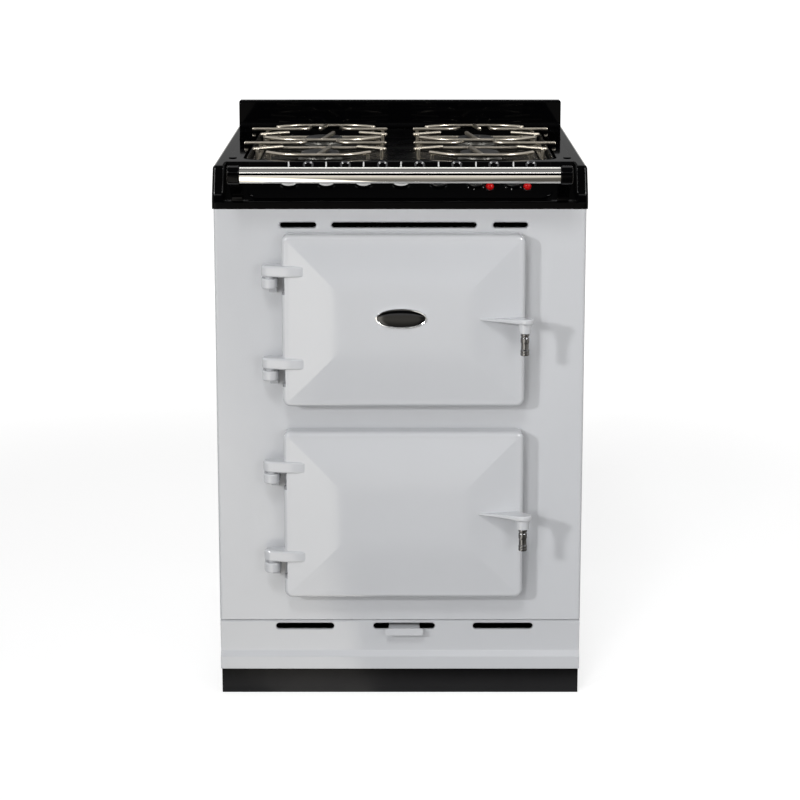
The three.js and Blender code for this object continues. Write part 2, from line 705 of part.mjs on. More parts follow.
/** Door casting: facets, hinge arms with their bores, handle fin and the pocket for the inner plate. */
function doorCasting() {
  const axisX = -DOOR_WIDTH / 2 - HINGE_OUT;
  const arms = ARM_LIFTS.map((z) => moved(hingeArm(), 0, 0, z));
  const bores = ARM_LIFTS.map((z) =>
    moved(
      cylinder(PIN_RADIUS + SEAT_GAP, -ARM_HEIGHT / 2 - 1, -ARM_HEIGHT / 2 + PIN_LENGTH + 0.6, 12),
      axisX,
      PIN_Y,
      z,
    ),
  );
  const scoopHeight = BRACKET_HEIGHT + COLLAR_HEIGHT + 10;
  const scoops = ARM_LIFTS.map((z) =>
    moved(
      cylinder(HINGE_OUT + 8, -ARM_HEIGHT / 2 - scoopHeight, -ARM_HEIGHT / 2, 20),
      axisX,
      PIN_Y,
      z,
    ),
  );
  const pocket = prismY(
    roundedRect(
      -DOOR_WIDTH / 2 + 2 * MOUTH_OVERLAP,
      DOOR_WIDTH / 2 - 2 * MOUTH_OVERLAP,
      -DOOR_HEIGHT / 2 + 2 * MOUTH_OVERLAP,
      DOOR_HEIGHT / 2 - 2 * MOUTH_OVERLAP,
      MOUTH_RADIUS,
      3,
    ),
    -DOOR_GAP - LINER_POCKET,
    0,
  );
  return cut(joined(cut(loftY(doorRows(), 3), scoops), arms, handleFin()), bores, pocket);
}

/** Inner plate of a door: a pressed pan that fills the pocket and stands a little proud of it. */
function doorLiner() {
  const half = (size, inset) => size / 2 - 2 * MOUTH_OVERLAP - SEAT_GAP - inset;
  const row = (y, inset) => [
    y,
    -half(DOOR_WIDTH, inset),
    half(DOOR_WIDTH, inset),
    -half(DOOR_HEIGHT, inset),
    half(DOOR_HEIGHT, inset),
    Math.max(MOUTH_RADIUS - inset, 3),
  ];
  const back = -DOOR_GAP - LINER_POCKET;
  return loftY([row(back, 0), row(-DOOR_GAP, 0), row(-DOOR_GAP + 1, 1), row(-DOOR_GAP + 1, 9), row(-1.5, 14)], 3);
}

/** Rope seal round the door's back, outside the oven mouth. */
function doorSeal() {
  const ring = (out) => mouthOutline(0, out).map(([x, z]) => [x - DOOR_SHIFT, z]);
  const middle = MOUTH_OVERLAP / 2;
  const y0 = -DOOR_GAP + SEAT_GAP;
  const y1 = -SEAT_GAP;
  const layer = (y, out) => ring(out).map(([x, z]) => [x, y, z]);
  const half = SEAL_WIDTH / 2;
  const outer = loft([layer(y0, middle + half - 1.5), layer((y0 + y1) / 2, middle + half), layer(y1, middle + half - 1.5)]);
  return cut(outer, prismY(ring(middle - half), y0 - 1, y1 + 1));
}

/** Turned grip: a drum with shallow waists. */
function gripBody() {
  const r = GRIP_RADIUS;
  const length = GRIP_LENGTH;
  return turned(
    [
      [0, -length],
      [r - 1.2, -length],
      [r, -length + 1.2],
      [r, -0.86 * length],
      [r - 1.1, -0.8 * length],
      [r, -0.5 * length],
      [r - 1.1, -0.23 * length],
      [r, -0.17 * length],
      [r, 0],
      [0, 0],
    ],
    14,
  );
}

/** Plain oval plate with a rim and a slightly domed middle. */
function badgePlate() {
  const sides = 24;
  const oval = (share, y) =>
    Array.from({ length: sides }, (_, i) => {
      const angle = (2 * Math.PI * i) / sides;
      return [(share * BADGE_WIDTH * Math.cos(angle)) / 2, y, (share * BADGE_HEIGHT * Math.sin(angle)) / 2];
    });
  return loft([
    oval(0.96, 0),
    oval(1, -0.35 * BADGE_THICK),
    oval(0.97, -0.75 * BADGE_THICK),
    oval(0.92, -0.6 * BADGE_THICK),
    oval(0.6, -0.85 * BADGE_THICK),
    oval(0.2, -BADGE_THICK),
  ]);
}

/** Hinge bracket: boss, collar and pin on a root that runs back to the front plate, with a web below. */
function hingeBracket() {
  const r = HINGE_BOSS_RADIUS;
  const top = -ARM_HEIGHT / 2 - SEAT_GAP - COLLAR_HEIGHT;
  const outline = [[-r, -PIN_Y], ...arc(0, 0, r, 180, 360, 8), [r, -PIN_Y]];
  const boss = prismZ(outline, top - BRACKET_HEIGHT, top, 1.5);
  const web = prismX(
    [
      [-r * 0.4, top - BRACKET_HEIGHT + 2],
      [-PIN_Y, top - BRACKET_HEIGHT + 2],
      [-PIN_Y, top - BRACKET_HEIGHT - BRACKET_WEB_DROP],
    ],
    -0.1 * r,
    0.9 * r,
  );
  const collar = cylinder(PIN_RADIUS + 3, top - 1, top + COLLAR_HEIGHT, 12);
  const pin = cylinder(PIN_RADIUS, top, -ARM_HEIGHT / 2 + PIN_LENGTH, 12);
  return joined(boss, web, collar, pin);
}

// ---------------------------------------------------------------- ovens

/** Height of a shelf runner's top above the oven's floor. */
function runnerHeight(level) {
  return ((level + 1) * MOUTH_HEIGHT) / (RUNNER_COUNT + 1);
}

/** Oven liner: a box with a front flange and shelf runners; holes are cut in its rear wall. */
function ovenLiner(rearHoles) {
  const y0 = PLATE_THICK;
  const box = prismY(mouthOutline(0, LINER_WALL), y0, OVEN_BACK + LINER_WALL);
  const flange = prismY(mouthOutline(0, LINER_FLANGE), y0, y0 + LINER_WALL);
  const hollow = prismY(mouthOutline(0, 0), y0 - 1, OVEN_BACK);
  const runners = [];
  for (let level = 0; level < RUNNER_COUNT; level++) {
    const z = -MOUTH_HEIGHT / 2 + runnerHeight(level);
    for (const side of [-1, 1]) {
      const wall = DOOR_SHIFT + (side * MOUTH_WIDTH) / 2;
      const inner = wall - side * RUNNER_WIDTH;
      const outer = wall + side * (LINER_WALL / 2);
      runners.push(
        block(Math.min(inner, outer), Math.max(inner, outer), y0 + 30, OVEN_BACK + 1, z - RUNNER_THICK, z),
      );
    }
  }
  return cut(joined(cut(joined(box, flange), hollow), runners), rearHoles);
}

/** Wire shelf that lies on a pair of runners; rearClear is what stands in front of the rear wall. */
function ovenShelf(rearClear) {
  const half = MOUTH_WIDTH / 2 - SHELF_SIDE_GAP - SHELF_FRAME_RADIUS;
  const y0 = PLATE_THICK + SHELF_FRONT;
  const y1 = OVEN_BACK - rearClear - SHELF_REAR_GAP;
  const r = SHELF_FRAME_RADIUS;
  const frame = [
    bar([-half, y0, 0], [half, y0, 0], r),
    bar([-half, y1, 0], [half, y1, 0], r),
    bar([-half, y0 - r / 2, 0], [-half, y1 + r / 2, 0], r),
    bar([half, y0 - r / 2, 0], [half, y1 + r / 2, 0], r),
  ];
  const wires = Array.from({ length: SHELF_WIRES }, (_, i) => {
    const x = -half + ((i + 1) * 2 * half) / (SHELF_WIRES + 1);
    return bar([x, y0, 0], [x, y1, 0], SHELF_WIRE_RADIUS, 4);
  });
  return joined(frame, wires);
}

/** Where the grill element's two ends go through the rear wall, from the oven's centre. */
function elementEnds() {
  const span = (ELEMENT_RUNS - 1) * ELEMENT_PITCH;
  const z = MOUTH_HEIGHT / 2 - ELEMENT_DROP;
  return [-1, 1].map((side) => [DOOR_SHIFT + (side * span) / 2, z]);
}

/** Grill element: runs back and forth under the roof, joined by half circles. */
function grillElement() {
  const [[x0, z]] = elementEnds();
  const back = OVEN_BACK + 14;
  const far = OVEN_BACK - 30;
  const near = far - ELEMENT_LENGTH;
  const r = ELEMENT_PITCH / 2;
  const points = [[x0, back, z], [x0, OVEN_BACK - 20, z]];
  for (let run = 0; run + 1 < ELEMENT_RUNS; run++) {
    const x = x0 + run * ELEMENT_PITCH;
    const atFront = run % 2 === 0;
    const turnY = atFront ? near + r : far - r;
    const half = arc(x + r, turnY, r, 180, atFront ? 360 : 0, 6);
    points.push(...half.map(([px, py]) => [px, py, z]));
  }
  const xEnd = x0 + (ELEMENT_RUNS - 1) * ELEMENT_PITCH;
  points.push([xEnd, OVEN_BACK - 20, z], [xEnd, back, z]);
  return bentBar(points, ELEMENT_RADIUS, 5, 44);
}

/** Paddle fan on its shaft; its axis is local Z, which points at the oven's door. */
function ovenFan() {
  const plate = cylinder(FAN_RADIUS * 0.96, FAN_STANDOFF, FAN_STANDOFF + FAN_SHEET, 20);
  const blades = Array.from({ length: FAN_BLADES }, (_, i) => {
    const half = FAN_SHEET / 2;
    const blade = block(FAN_RADIUS * 0.45, FAN_RADIUS, -half, half, FAN_STANDOFF + half, FAN_STANDOFF + FAN_DEPTH);
    return blade.rotate([0, 0, (360 * i) / FAN_BLADES]);
  });
  const hub = cylinder(3 * FAN_SHAFT_RADIUS, FAN_STANDOFF - FAN_HUB / 3, FAN_STANDOFF + (2 * FAN_HUB) / 3, 12);
  const shaft = cylinder(FAN_SHAFT_RADIUS, -LINER_WALL - SHAFT_REACH, SHAFT_REACH, 12);
  return joined(plate, blades, hub, shaft);
}

/** Fan motor behind the oven's rear wall, in the fan's frame. */
function fanMotor() {
  const front = -LINER_WALL - SEAT_GAP;
  const can = turned(
    [
      [0, front],
      [MOTOR_RADIUS + 8, front],
      [MOTOR_RADIUS + 8, front - 3],
      [MOTOR_RADIUS, front - 3],
      [MOTOR_RADIUS, front - MOTOR_LENGTH + 4],
      [MOTOR_RADIUS - 4, front - MOTOR_LENGTH],
      [0, front - MOTOR_LENGTH],
    ],
    20,
  );
  return cut(can, cylinder(FAN_SHAFT_RADIUS + SEAT_GAP, front - 20, front + 1, 12));
}

/** Cover over the fan: a square pan, open at its back, with an inlet ring and side outlets. */
function fanCover() {
  const half = FAN_COVER_SIZE / 2;
  const depth = FAN_COVER_DEPTH;
  const layer = (z, inset) =>
    roundedRect(-half + inset, half - inset, -half + inset, half - inset, 16, 2).map(([x, y]) => [x, y, z]);
  const shell = cut(
    loft([layer(SEAT_GAP, 0), layer(depth - 4, 0), layer(depth, 4)]),
    loft([layer(-1, 1.6), layer(depth - 4.6, 1.6), layer(depth - 1.6, 5)]),
  );
  const holes = [];
  for (const [radius, count] of [[34, 8], [17, 4]]) {
    for (let i = 0; i < count; i++) {
      const hole = moved(cylinder(6, depth - 6, depth + 1, 6), radius, 0, 0);
      holes.push(hole.rotate([0, 0, (360 * i) / count]));
    }
  }
  for (const side of [0, 90, 180, 270]) {
    for (const offset of [-32, 32]) {
      holes.push(block(half - 4, half + 1, offset - 24, offset + 24, 9, 18).rotate([0, 0, side]));
    }
  }
  return cut(shell, holes);
}

// ---------------------------------------------------------------- hob

/** Where the knobs stand along X. */
const KNOB_XS = Array.from(
  { length: KNOB_COUNT },
  (_, i) => KNOB_SHIFT + (i - (KNOB_COUNT - 1) / 2) * KNOB_PITCH,
);

/** Where the lamps stand along X: beside the last two knobs. */
const LAMP_XS = KNOB_XS.slice(-2).map((x) => x + LAMP_SHIFT);

/** Turns a solid of the control slope's frame into the body's frame. */
function ontoSlope(body) {
  return moved(body.rotate([THREE.MathUtils.radToDeg(SLOPE_ANGLE), 0, 0]), 0, LEDGE_DEPTH, LEDGE_Z);
}

/** Holes through the slope for the spindles and the lamps, in the slope's frame. */
function slopeHoles(z0, z1) {
  const spindles = KNOB_XS.map((x) =>
    moved(cylinder(SPINDLE_RADIUS + SPINDLE_HOLE_GAP, z0, z1, 8), x, KNOB_UP, 0),
  );
  const lamps = LAMP_XS.map((x) => moved(cylinder(LAMP_RADIUS - 1.5 + SEAT_GAP, z0, z1, 10), x, LAMP_UP, 0));
  return [...spindles, ...lamps];
}

/** The gas pipe's axis under the taps, as [y, z]. */
function gasPipeLine() {
  const depth = HOB_WALL + SEAT_GAP + TAP_LENGTH + SEAT_GAP + GAS_PIPE_RADIUS;
  const [cos, sin] = [Math.cos(SLOPE_ANGLE), Math.sin(SLOPE_ANGLE)];
  return [LEDGE_DEPTH + KNOB_UP * cos + depth * sin, LEDGE_Z + KNOB_UP * sin - depth * cos];
}

/** Hob casting: cheeks, control recess, rim with the opening of the well, hollow below. */
function hobCasting() {
  const r = HOB_EDGE_RADIUS;
  const side = [
    [0, PLATE_TOP],
    [0, PLATE_TOP + CHEEK_FOOT],
    [CHEEK_LEAN - 1.5, RIM_Z - r],
    [CHEEK_LEAN, RIM_Z - 0.5 * r],
    [CHEEK_LEAN + 0.4 * r, RIM_Z - 0.12 * r],
    [CHEEK_LEAN + r, RIM_Z],
    [BODY_DEPTH, RIM_Z],
    [BODY_DEPTH, PLATE_TOP],
  ];
  const front = [
    [-HOB_HALF, PLATE_TOP],
    [HOB_HALF, PLATE_TOP],
    ...arc(HOB_HALF - r, RIM_Z - r, r, 0, 90, 4),
    ...arc(-HOB_HALF + r, RIM_Z - r, r, 90, 180, 4),
  ];
  const whole = prismX(side, -HOB_HALF - 1, HOB_HALF + 1).intersect(prismY(front, -1, BODY_DEPTH + 1));
  const recess = prismX(
    [[-1, LEDGE_Z], [LEDGE_DEPTH, LEDGE_Z], [SLOPE_END, RIM_Z], [SLOPE_END, RIM_Z + 1], [-1, RIM_Z + 1]],
    -CHEEK_INSIDE,
    CHEEK_INSIDE,
  );
  const shift = HOB_WALL / Math.sin(SLOPE_ANGLE);
  const under = RIM_Z - HOB_WALL;
  const slopeY = (z) => LEDGE_DEPTH + ((z - LEDGE_Z) * SLOPE_RUN) / SLOPE_RISE + shift;
  const hollow = prismX(
    [
      [PLATE_THICK, PLATE_TOP - 1],
      [PLATE_THICK, LEDGE_Z - HOB_WALL],
      [slopeY(LEDGE_Z - HOB_WALL), LEDGE_Z - HOB_WALL],
      [slopeY(under), under],
      [BODY_DEPTH - HOB_WALL, under],
      [BODY_DEPTH - HOB_WALL, PLATE_TOP - 1],
    ],
    -HOB_HALF + HOB_WALL,
    HOB_HALF - HOB_WALL,
  );
  const opening = prismZ(wellOutline(0), RIM_Z - HOB_WALL - 1, RIM_Z + 1);
  const rebate = prismZ(wellOutline(PAN_LIP), RIM_Z - PAN_SHEET, RIM_Z + 1);
  const buttons = [-1, 1].map((s) =>
    moved(cylinder(BUTTON_RADIUS, RIM_Z - 1, RIM_Z + 1.5, 16), s * BUTTON_X, BUTTON_Y, 0),
  );
  const holes = slopeHoles(-2 * HOB_WALL, 1).map(ontoSlope);
  const inlet = prismY(
    circle(GAS_INLET_X, gasPipeLine()[1], GAS_PIPE_RADIUS + SEAT_GAP, 16),
    BODY_DEPTH - HOB_WALL - 1,
    BODY_DEPTH + 1,
  );
  return joined(cut(whole, recess, hollow, opening, rebate, inlet, holes), buttons);
}

/** Outline of the burner well, made larger by an amount on every side. */
function wellOutline(out) {
  const half = WELL_WIDTH / 2 + out;
  return roundedRect(-half, half, WELL_FRONT - out, WELL_BACK + out, WELL_RADIUS + out, 4);
}

/** Where the four burners stand. */
const BURNER_SPOTS = [
  ["front_left", -BURNER_X, BURNER_FRONT_Y],
  ["front_right", BURNER_X, BURNER_FRONT_Y],
  ["rear_left", -BURNER_X, BURNER_FRONT_Y + BURNER_PITCH],
  ["rear_right", BURNER_X, BURNER_FRONT_Y + BURNER_PITCH],
];

/** Spill pan: hangs in the well by its lip, with a hole for each burner. */
function hobPan() {
  const bottom = PAN_FLOOR - PAN_SHEET;
  const tub = prismZ(wellOutline(-PAN_FIT), bottom, RIM_Z);
  const lip = prismZ(wellOutline(PAN_LIP - PAN_FIT), RIM_Z - PAN_SHEET, RIM_Z);
  const hollow = prismZ(wellOutline(-PAN_FIT - PAN_SHEET), PAN_FLOOR, RIM_Z + 1);
  const holes = BURNER_SPOTS.map(([, x, y]) =>
    moved(cylinder(THROAT_RADIUS + 1, bottom - 1, PAN_FLOOR + 1, 18), x, y, 0),
  );
  return cut(joined(tub, lip), hollow, holes);
}

/** Burner head: throat, flange and crown with its ring of ports, and an igniter beside it. */
function burnerHead() {
  const r = BURNER_RADIUS;
  const h = BURNER_HEIGHT;
  const body = turned(
    [
      [0, -THROAT_DEPTH],
      [THROAT_RADIUS * 0.6, -THROAT_DEPTH],
      [THROAT_RADIUS, -THROAT_DEPTH * 0.55],
      [THROAT_RADIUS, 0],
      [r, 0],
      [r, 0.3 * h],
      [CAP_RADIUS - 1, 0.42 * h],
      [CAP_RADIUS - 2, h],
      [0, h],
    ],
    18,
  );
  const ports = Array.from({ length: PORTS }, (_, i) => {
    const port = block(CAP_RADIUS - 6, CAP_RADIUS + 1, -1.2, 1.2, 0.6 * h, h + 1);
    return port.rotate([0, 0, (360 * (i + 0.25)) / PORTS]);
  });
  const igniter = moved(cylinder(IGNITER_RADIUS, 0, 1.3 * h, 6), r - 0.5 * IGNITER_RADIUS, 0, 0);
  return joined(cut(body, ports), igniter.rotate([0, 0, 40]));
}

/** Burner cap: a shallow dome that lies on the head. */
function burnerCap() {
  const r = CAP_RADIUS;
  const h = CAP_HEIGHT;
  return turned([[0, 0], [r - 1, 0], [r, 0.3 * h], [r - 1.5, 0.7 * h], [0.7 * r, 0.95 * h], [0, h]], 20);
}

/** Pan support over two burners, from the line between them; side -1 is the left one, 1 the right one. */
function panSupport(side) {
  const z = RIM_Z + BAR_RISE;
  const low = PAN_FLOOR + SUPPORT_LIFT + FOOT_RADIUS;
  const place = ([x, y]) => [side * x, y, z];
  const add = (points) =>
    points.length > 2
      ? bentBar(points.map(place), BAR_RADIUS, 5, points.length + 2)
      : bar(place(points[0]), place(points[1]), BAR_RADIUS, 5);
  const w = SUPPORT_HALF_WIDTH;
  const d = SUPPORT_REACH;
  const front = BURNER_FRONT_Y;
  const rear = BURNER_FRONT_Y + BURNER_PITCH;
  const arcs = [
    [front - 0.74 * d, 0.35 * d, 0.77 * w],
    [rear - 0.74 * d, 0.36 * d, 0.9 * w],
    [rear + 0.76 * d, -0.26 * d, 0.8 * w],
  ];
  const bars = arcs.map(([y, sag, half]) =>
    add([[-half, y], [-0.6 * half, y - 0.88 * sag], [0, y - sag], [0.6 * half, y - 0.88 * sag], [half, y]]),
  );
  for (const y of [front, rear]) {
    const long = y + 0.46 * d;
    bars.push(add([[-w, y - 0.32 * d], [-0.58 * w, y - 0.04 * d]]));
    bars.push(add([[w, y - 0.32 * d], [0.58 * w, y - 0.04 * d]]));
    bars.push(add([[1.18 * w, long], [0.36 * w, long], [0.25 * w, long + 0.27 * d]]));
    bars.push(add([[-w, long], [-0.39 * w, long], [-0.25 * w, long + 0.27 * d]]));
  }
  const tips = [front - 0.1 * d, rear - 0.1 * d, rear + 0.5 * d];
  arcs.forEach(([y, sag], i) => bars.push(add([[0, y - sag], [0, tips[i]]])));
  const [y0, yMiddle, y1] = arcs.map(([y]) => y);
  const frameHalf = w - 2 * BAR_RADIUS;
  const rod = (xa, ya, xb, yb) => bar([side * xa, ya, low], [side * xb, yb, low], FOOT_RADIUS, 4);
  const frame = [
    rod(-frameHalf, y0, frameHalf, y0),
    rod(-frameHalf, yMiddle, frameHalf, yMiddle),
    rod(-frameHalf, y1, frameHalf, y1),
    rod(-frameHalf, y0 - FOOT_RADIUS, -frameHalf, y1 + FOOT_RADIUS),
    rod(frameHalf, y0 - FOOT_RADIUS, frameHalf, y1 + FOOT_RADIUS),
  ];
  const post = (x, y) =>
    bar([side * x, y, PAN_FLOOR + SEAT_GAP], [side * x, y, z], FOOT_RADIUS, 4);
  const posts = arcs.flatMap(([y, , half]) => [post(-half + 3, y), post(half - 3, y)]);
  for (const y of [front, rear]) {
    for (const rise of [-0.32, 0.46]) {
      posts.push(post(-frameHalf, y + rise * d), post(frameHalf, y + rise * d));
    }
  }
  return joined(bars, frame, posts);
}

/** Splashback: an upright with a coved foot and a rounded top edge. */
function splashback() {
  const back = BODY_DEPTH;
  const front = back - SPLASH_THICK;
  const top = RIM_Z + SPLASH_HEIGHT;
  const e = SPLASH_EDGE;
  const outline = [
    [back, RIM_Z],
    [back, top - 1],
    [back - 1, top],
    ...arc(front + e, top - e, e, 90, 180, 4),
    ...arc(front - SPLASH_COVE, RIM_Z + SPLASH_COVE, SPLASH_COVE, 0, -90, 5),
  ];
  const upright = prismX(outline, -SPLASH_WIDTH / 2, SPLASH_WIDTH / 2);
  const faceOutline = roundedRect(-SPLASH_WIDTH / 2, SPLASH_WIDTH / 2, RIM_Z - 2 * e, top, e, 4);
  return upright.intersect(prismY(faceOutline, front - 2 * SPLASH_COVE, back + 1));
}

/** Handrail tube with open ends. */
function handRail() {
  const tube = cylinder(RAIL_RADIUS, -RAIL_LENGTH / 2, RAIL_LENGTH / 2, 32);
  return cut(tube, cylinder(RAIL_BORE, -RAIL_LENGTH / 2 - 1, RAIL_LENGTH / 2 + 1, 24)).rotate([0, 90, 0]);
}

/** Rail bracket: a round cap on an arm that comes up from the ledge, with a spigot in the tube. */
function railBracket(side) {
  const r = BRACKET_CAP_RADIUS;
  const foot = LEDGE_DEPTH - 1.5;
  const z = RAIL_Z - LEDGE_Z;
  const outline = [
    [foot, 0],
    [foot, 0.16 * z],
    [foot - 6, 0.34 * z],
    [-0.3 * RAIL_REACH, 0.86 * z],
    ...arc(-RAIL_REACH, z, r, 70, 262, 12),
    [-0.6 * RAIL_REACH, 0.62 * z],
    [-0.08 * RAIL_REACH, 0.24 * z],
    [1, 0.12 * z],
    [1, 0],
  ].map(([y, up]) => [y, LEDGE_Z + up]);
  const arm = prismX(outline, RAIL_LENGTH / 2, RAIL_LENGTH / 2 + BRACKET_WIDTH, 0.8);
  const tubeEnd = RAIL_LENGTH / 2;
  const spigot = cylinder(RAIL_BORE - SEAT_GAP, tubeEnd - SPIGOT_LENGTH, tubeEnd + BRACKET_WIDTH / 8, 20);
  const whole = joined(arm, moved(spigot.rotate([0, 90, 0]), 0, -RAIL_REACH, RAIL_Z));
  return side < 0 ? whole.mirror([1, 0, 0]) : whole;
}

// ---------------------------------------------------------------- controls, in the slope's frame

/** Control fascia with its holes and a raised dimple beside each knob. */
function fascia() {
  const half = FASCIA_WIDTH / 2;
  const outline = [
    ...arc(half - FASCIA_CORNER, FASCIA_MARGIN + FASCIA_CORNER, FASCIA_CORNER, -90, 0, 4),
    [half, SLOPE_LENGTH - FASCIA_MARGIN],
    [-half, SLOPE_LENGTH - FASCIA_MARGIN],
    ...arc(-half + FASCIA_CORNER, FASCIA_MARGIN + FASCIA_CORNER, FASCIA_CORNER, 180, 270, 4),
  ];
  const plate = prismZ(outline, SEAT_GAP, FASCIA_FACE);
  const dimple = turned(
    [
      [0, FASCIA_FACE - 1],
      [DIMPLE_RADIUS, FASCIA_FACE - 1],
      [DIMPLE_RADIUS, FASCIA_FACE + 0.5 * DIMPLE_RISE],
      [DIMPLE_RADIUS - 1.5, FASCIA_FACE + DIMPLE_RISE],
      [0, FASCIA_FACE + 0.5 * DIMPLE_RISE],
    ],
    12,
  );
  const dimples = KNOB_XS.map((x) => moved(dimple, x + KNOB_PITCH / 2, DIMPLE_UP, 0));
  return cut(joined(plate, dimples), slopeHoles(-1, FASCIA_FACE + 1));
}

/** Knob: a dished skirt and a tall blade, with a blind bore for the spindle. */
function knobBody() {
  const r = KNOB_RADIUS;
  const h = KNOB_HEIGHT;
  const skirt = turned(
    [
      [0, 0],
      [r - 0.8, 0],
      [r, 0.8],
      [r, KNOB_SKIRT - 1.5],
      [r - 1.5, KNOB_SKIRT],
      [0.62 * r, KNOB_SKIRT + 1.5],
      [0.5 * r, KNOB_SKIRT + 4],
      [0, KNOB_SKIRT + 4.5],
    ],
    16,
  );
  const blade = prismX(
    [
      [-0.86 * r, KNOB_SKIRT - 1],
      [0.86 * r, KNOB_SKIRT - 1],
      [0.8 * r, 0.62 * h],
      [0.66 * r, h - 2.5],
      [0.5 * r, h],
      [-0.4 * r, h],
      [-0.6 * r, h - 3],
      [-0.78 * r, 0.6 * h],
    ],
    -KNOB_BLADE / 2,
    KNOB_BLADE / 2,
    1.5,
  );
  return cut(joined(skirt, blade), cylinder(SPINDLE_RADIUS + SEAT_GAP, -1, SPINDLE_REACH + SEAT_GAP, 8));
}

/** Neon lamp: a domed lens with a barrel through the fascia and the casting. */
function lampBody() {
  const r = LAMP_RADIUS;
  const base = FASCIA_FACE + SEAT_GAP;
  return turned(
    [
      [0, -HOB_WALL - 8],
      [r - 1.5, -HOB_WALL - 8],
      [r - 1.5, base],
      [r, base],
      [r, base + 1.5],
      [r - 1.2, base + 4],
      [0.45 * r, base + 6],
      [0, base + 6.5],
    ],
    14,
  );
}

/** Spindle that reaches from a control up into its knob. */
function spindle() {
  return cylinder(SPINDLE_RADIUS, -HOB_WALL - 4, KNOB_BASE + SPINDLE_REACH, 6);
}

/** Gas tap: flange against the casting, body and spindle. */
function gasTap() {
  const top = -HOB_WALL - SEAT_GAP;
  const body = turned(
    [
      [0, top],
      [TAP_FLANGE, top],
      [TAP_FLANGE, top - 3],
      [TAP_RADIUS, top - 3],
      [TAP_RADIUS, top - TAP_LENGTH],
      [0, top - TAP_LENGTH],
    ],
    12,
  );
  return joined(body, spindle());
}

/** The three electric controls on their common bracket. */
function switchBank() {
  const xs = KNOB_XS.slice(GAS_KNOBS);
  const top = -HOB_WALL - SEAT_GAP;
  const strip = block(
    xs[0] - SWITCH_RADIUS,
    xs[xs.length - 1] + SWITCH_RADIUS,
    KNOB_UP - SPINDLE_RADIUS - 7,
    KNOB_UP + SPINDLE_RADIUS + 7,
    top - 2,
    top,
  );
  const bodies = xs.map((x) =>
    moved(joined(cylinder(SWITCH_RADIUS, top - SWITCH_LENGTH, top - 1, 14), spindle()), x, KNOB_UP, 0),
  );
  return joined(strip, bodies);
}

/** Gas manifold: a pipe under the taps that bends back to the inlet in the casting's rear wall. */
function gasManifold() {
  const [y, z] = gasPipeLine();
  const start = new THREE.Vector3(KNOB_XS[GAS_KNOBS - 1] + TAP_FLANGE, y, z);
  const bendStart = new THREE.Vector3(GAS_INLET_X + GAS_BEND, y, z);
  const corner = new THREE.Vector3(GAS_INLET_X, y, z);
  const bendEnd = new THREE.Vector3(GAS_INLET_X, y + GAS_BEND, z);
  const end = new THREE.Vector3(GAS_INLET_X, BODY_DEPTH - SEAT_GAP, z);
  const bend = new THREE.QuadraticBezierCurve3(bendStart, corner, bendEnd);
  return joined(
    barAlong(new THREE.LineCurve3(start, bendStart), GAS_PIPE_RADIUS, 12, 1),
    barAlong(bend, GAS_PIPE_RADIUS, 12, 6),
    barAlong(new THREE.LineCurve3(bendEnd, end), GAS_PIPE_RADIUS, 12, 1),
  );
}

// ---------------------------------------------------------------- the assembly

/** A group at a place, holding some objects. */
function groupAt(x, y, z, ...children) {
  const group = new THREE.Group();
  group.position.set(x, y, z);
  group.add(...children.flat());
  return group;
}

/** One door with everything that swings with it; the group's origin is the door's centre. */
function door(level, z) {
  const grip = node(`${level}_door_grip`, gripBody(), "chrome");
  grip.position.set(gripX(), gripY(), gripTop());
  const pieces = [
    node(`${level}_door`, doorCasting(), "enamel"),
    node(`${level}_door_liner`, doorLiner(), "ovenEnamel"),
    node(`${level}_door_seal`, doorSeal(), "rope"),
    grip,
  ];
  if (level === "upper") {
    const badge = node("door_badge", badgePlate(), "blackEnamel");
    badge.position.set(BADGE_SHIFT, DOOR_FRONT - SEAT_GAP, BADGE_LIFT);
    pieces.push(badge);
  }
  return groupAt(DOOR_SHIFT, 0, z, pieces);
}

/** The two hinge brackets of one door. */
function hinges(level, z) {
  const names = [`${level}_door_hinge_top`, `${level}_door_hinge_bottom`];
  return ARM_LIFTS.map((lift, i) => groupAt(PIN_X, PIN_Y, z + lift, node(names[i], hingeBracket(), "enamel")));
}

/** Everything on and behind the control slope. */
function controls() {
  const group = new THREE.Group();
  group.position.set(0, LEDGE_DEPTH, LEDGE_Z);
  group.rotation.x = SLOPE_ANGLE;
  group.add(node("control_fascia", fascia(), "blackEnamel"));
  KNOB_XS.forEach((x, i) => {
    const knob = node(`knob_${i + 1}`, knobBody(), "knob");
    knob.position.set(x, KNOB_UP, KNOB_BASE);
    group.add(knob);
  });
  LAMP_XS.forEach((x, i) => {
    const lamp = node(`neon_lamp_${i + 1}`, lampBody(), "lamp");
    lamp.position.set(x, LAMP_UP, 0);
    group.add(lamp);
  });
  KNOB_XS.slice(0, GAS_KNOBS).forEach((x, i) => {
    const tap = node(`gas_tap_${i + 1}`, gasTap(), "brass");
    tap.position.set(x, KNOB_UP, 0);
    group.add(tap);
  });
  group.add(node("switch_bank", switchBank(), "plastic"));
  return group;
}

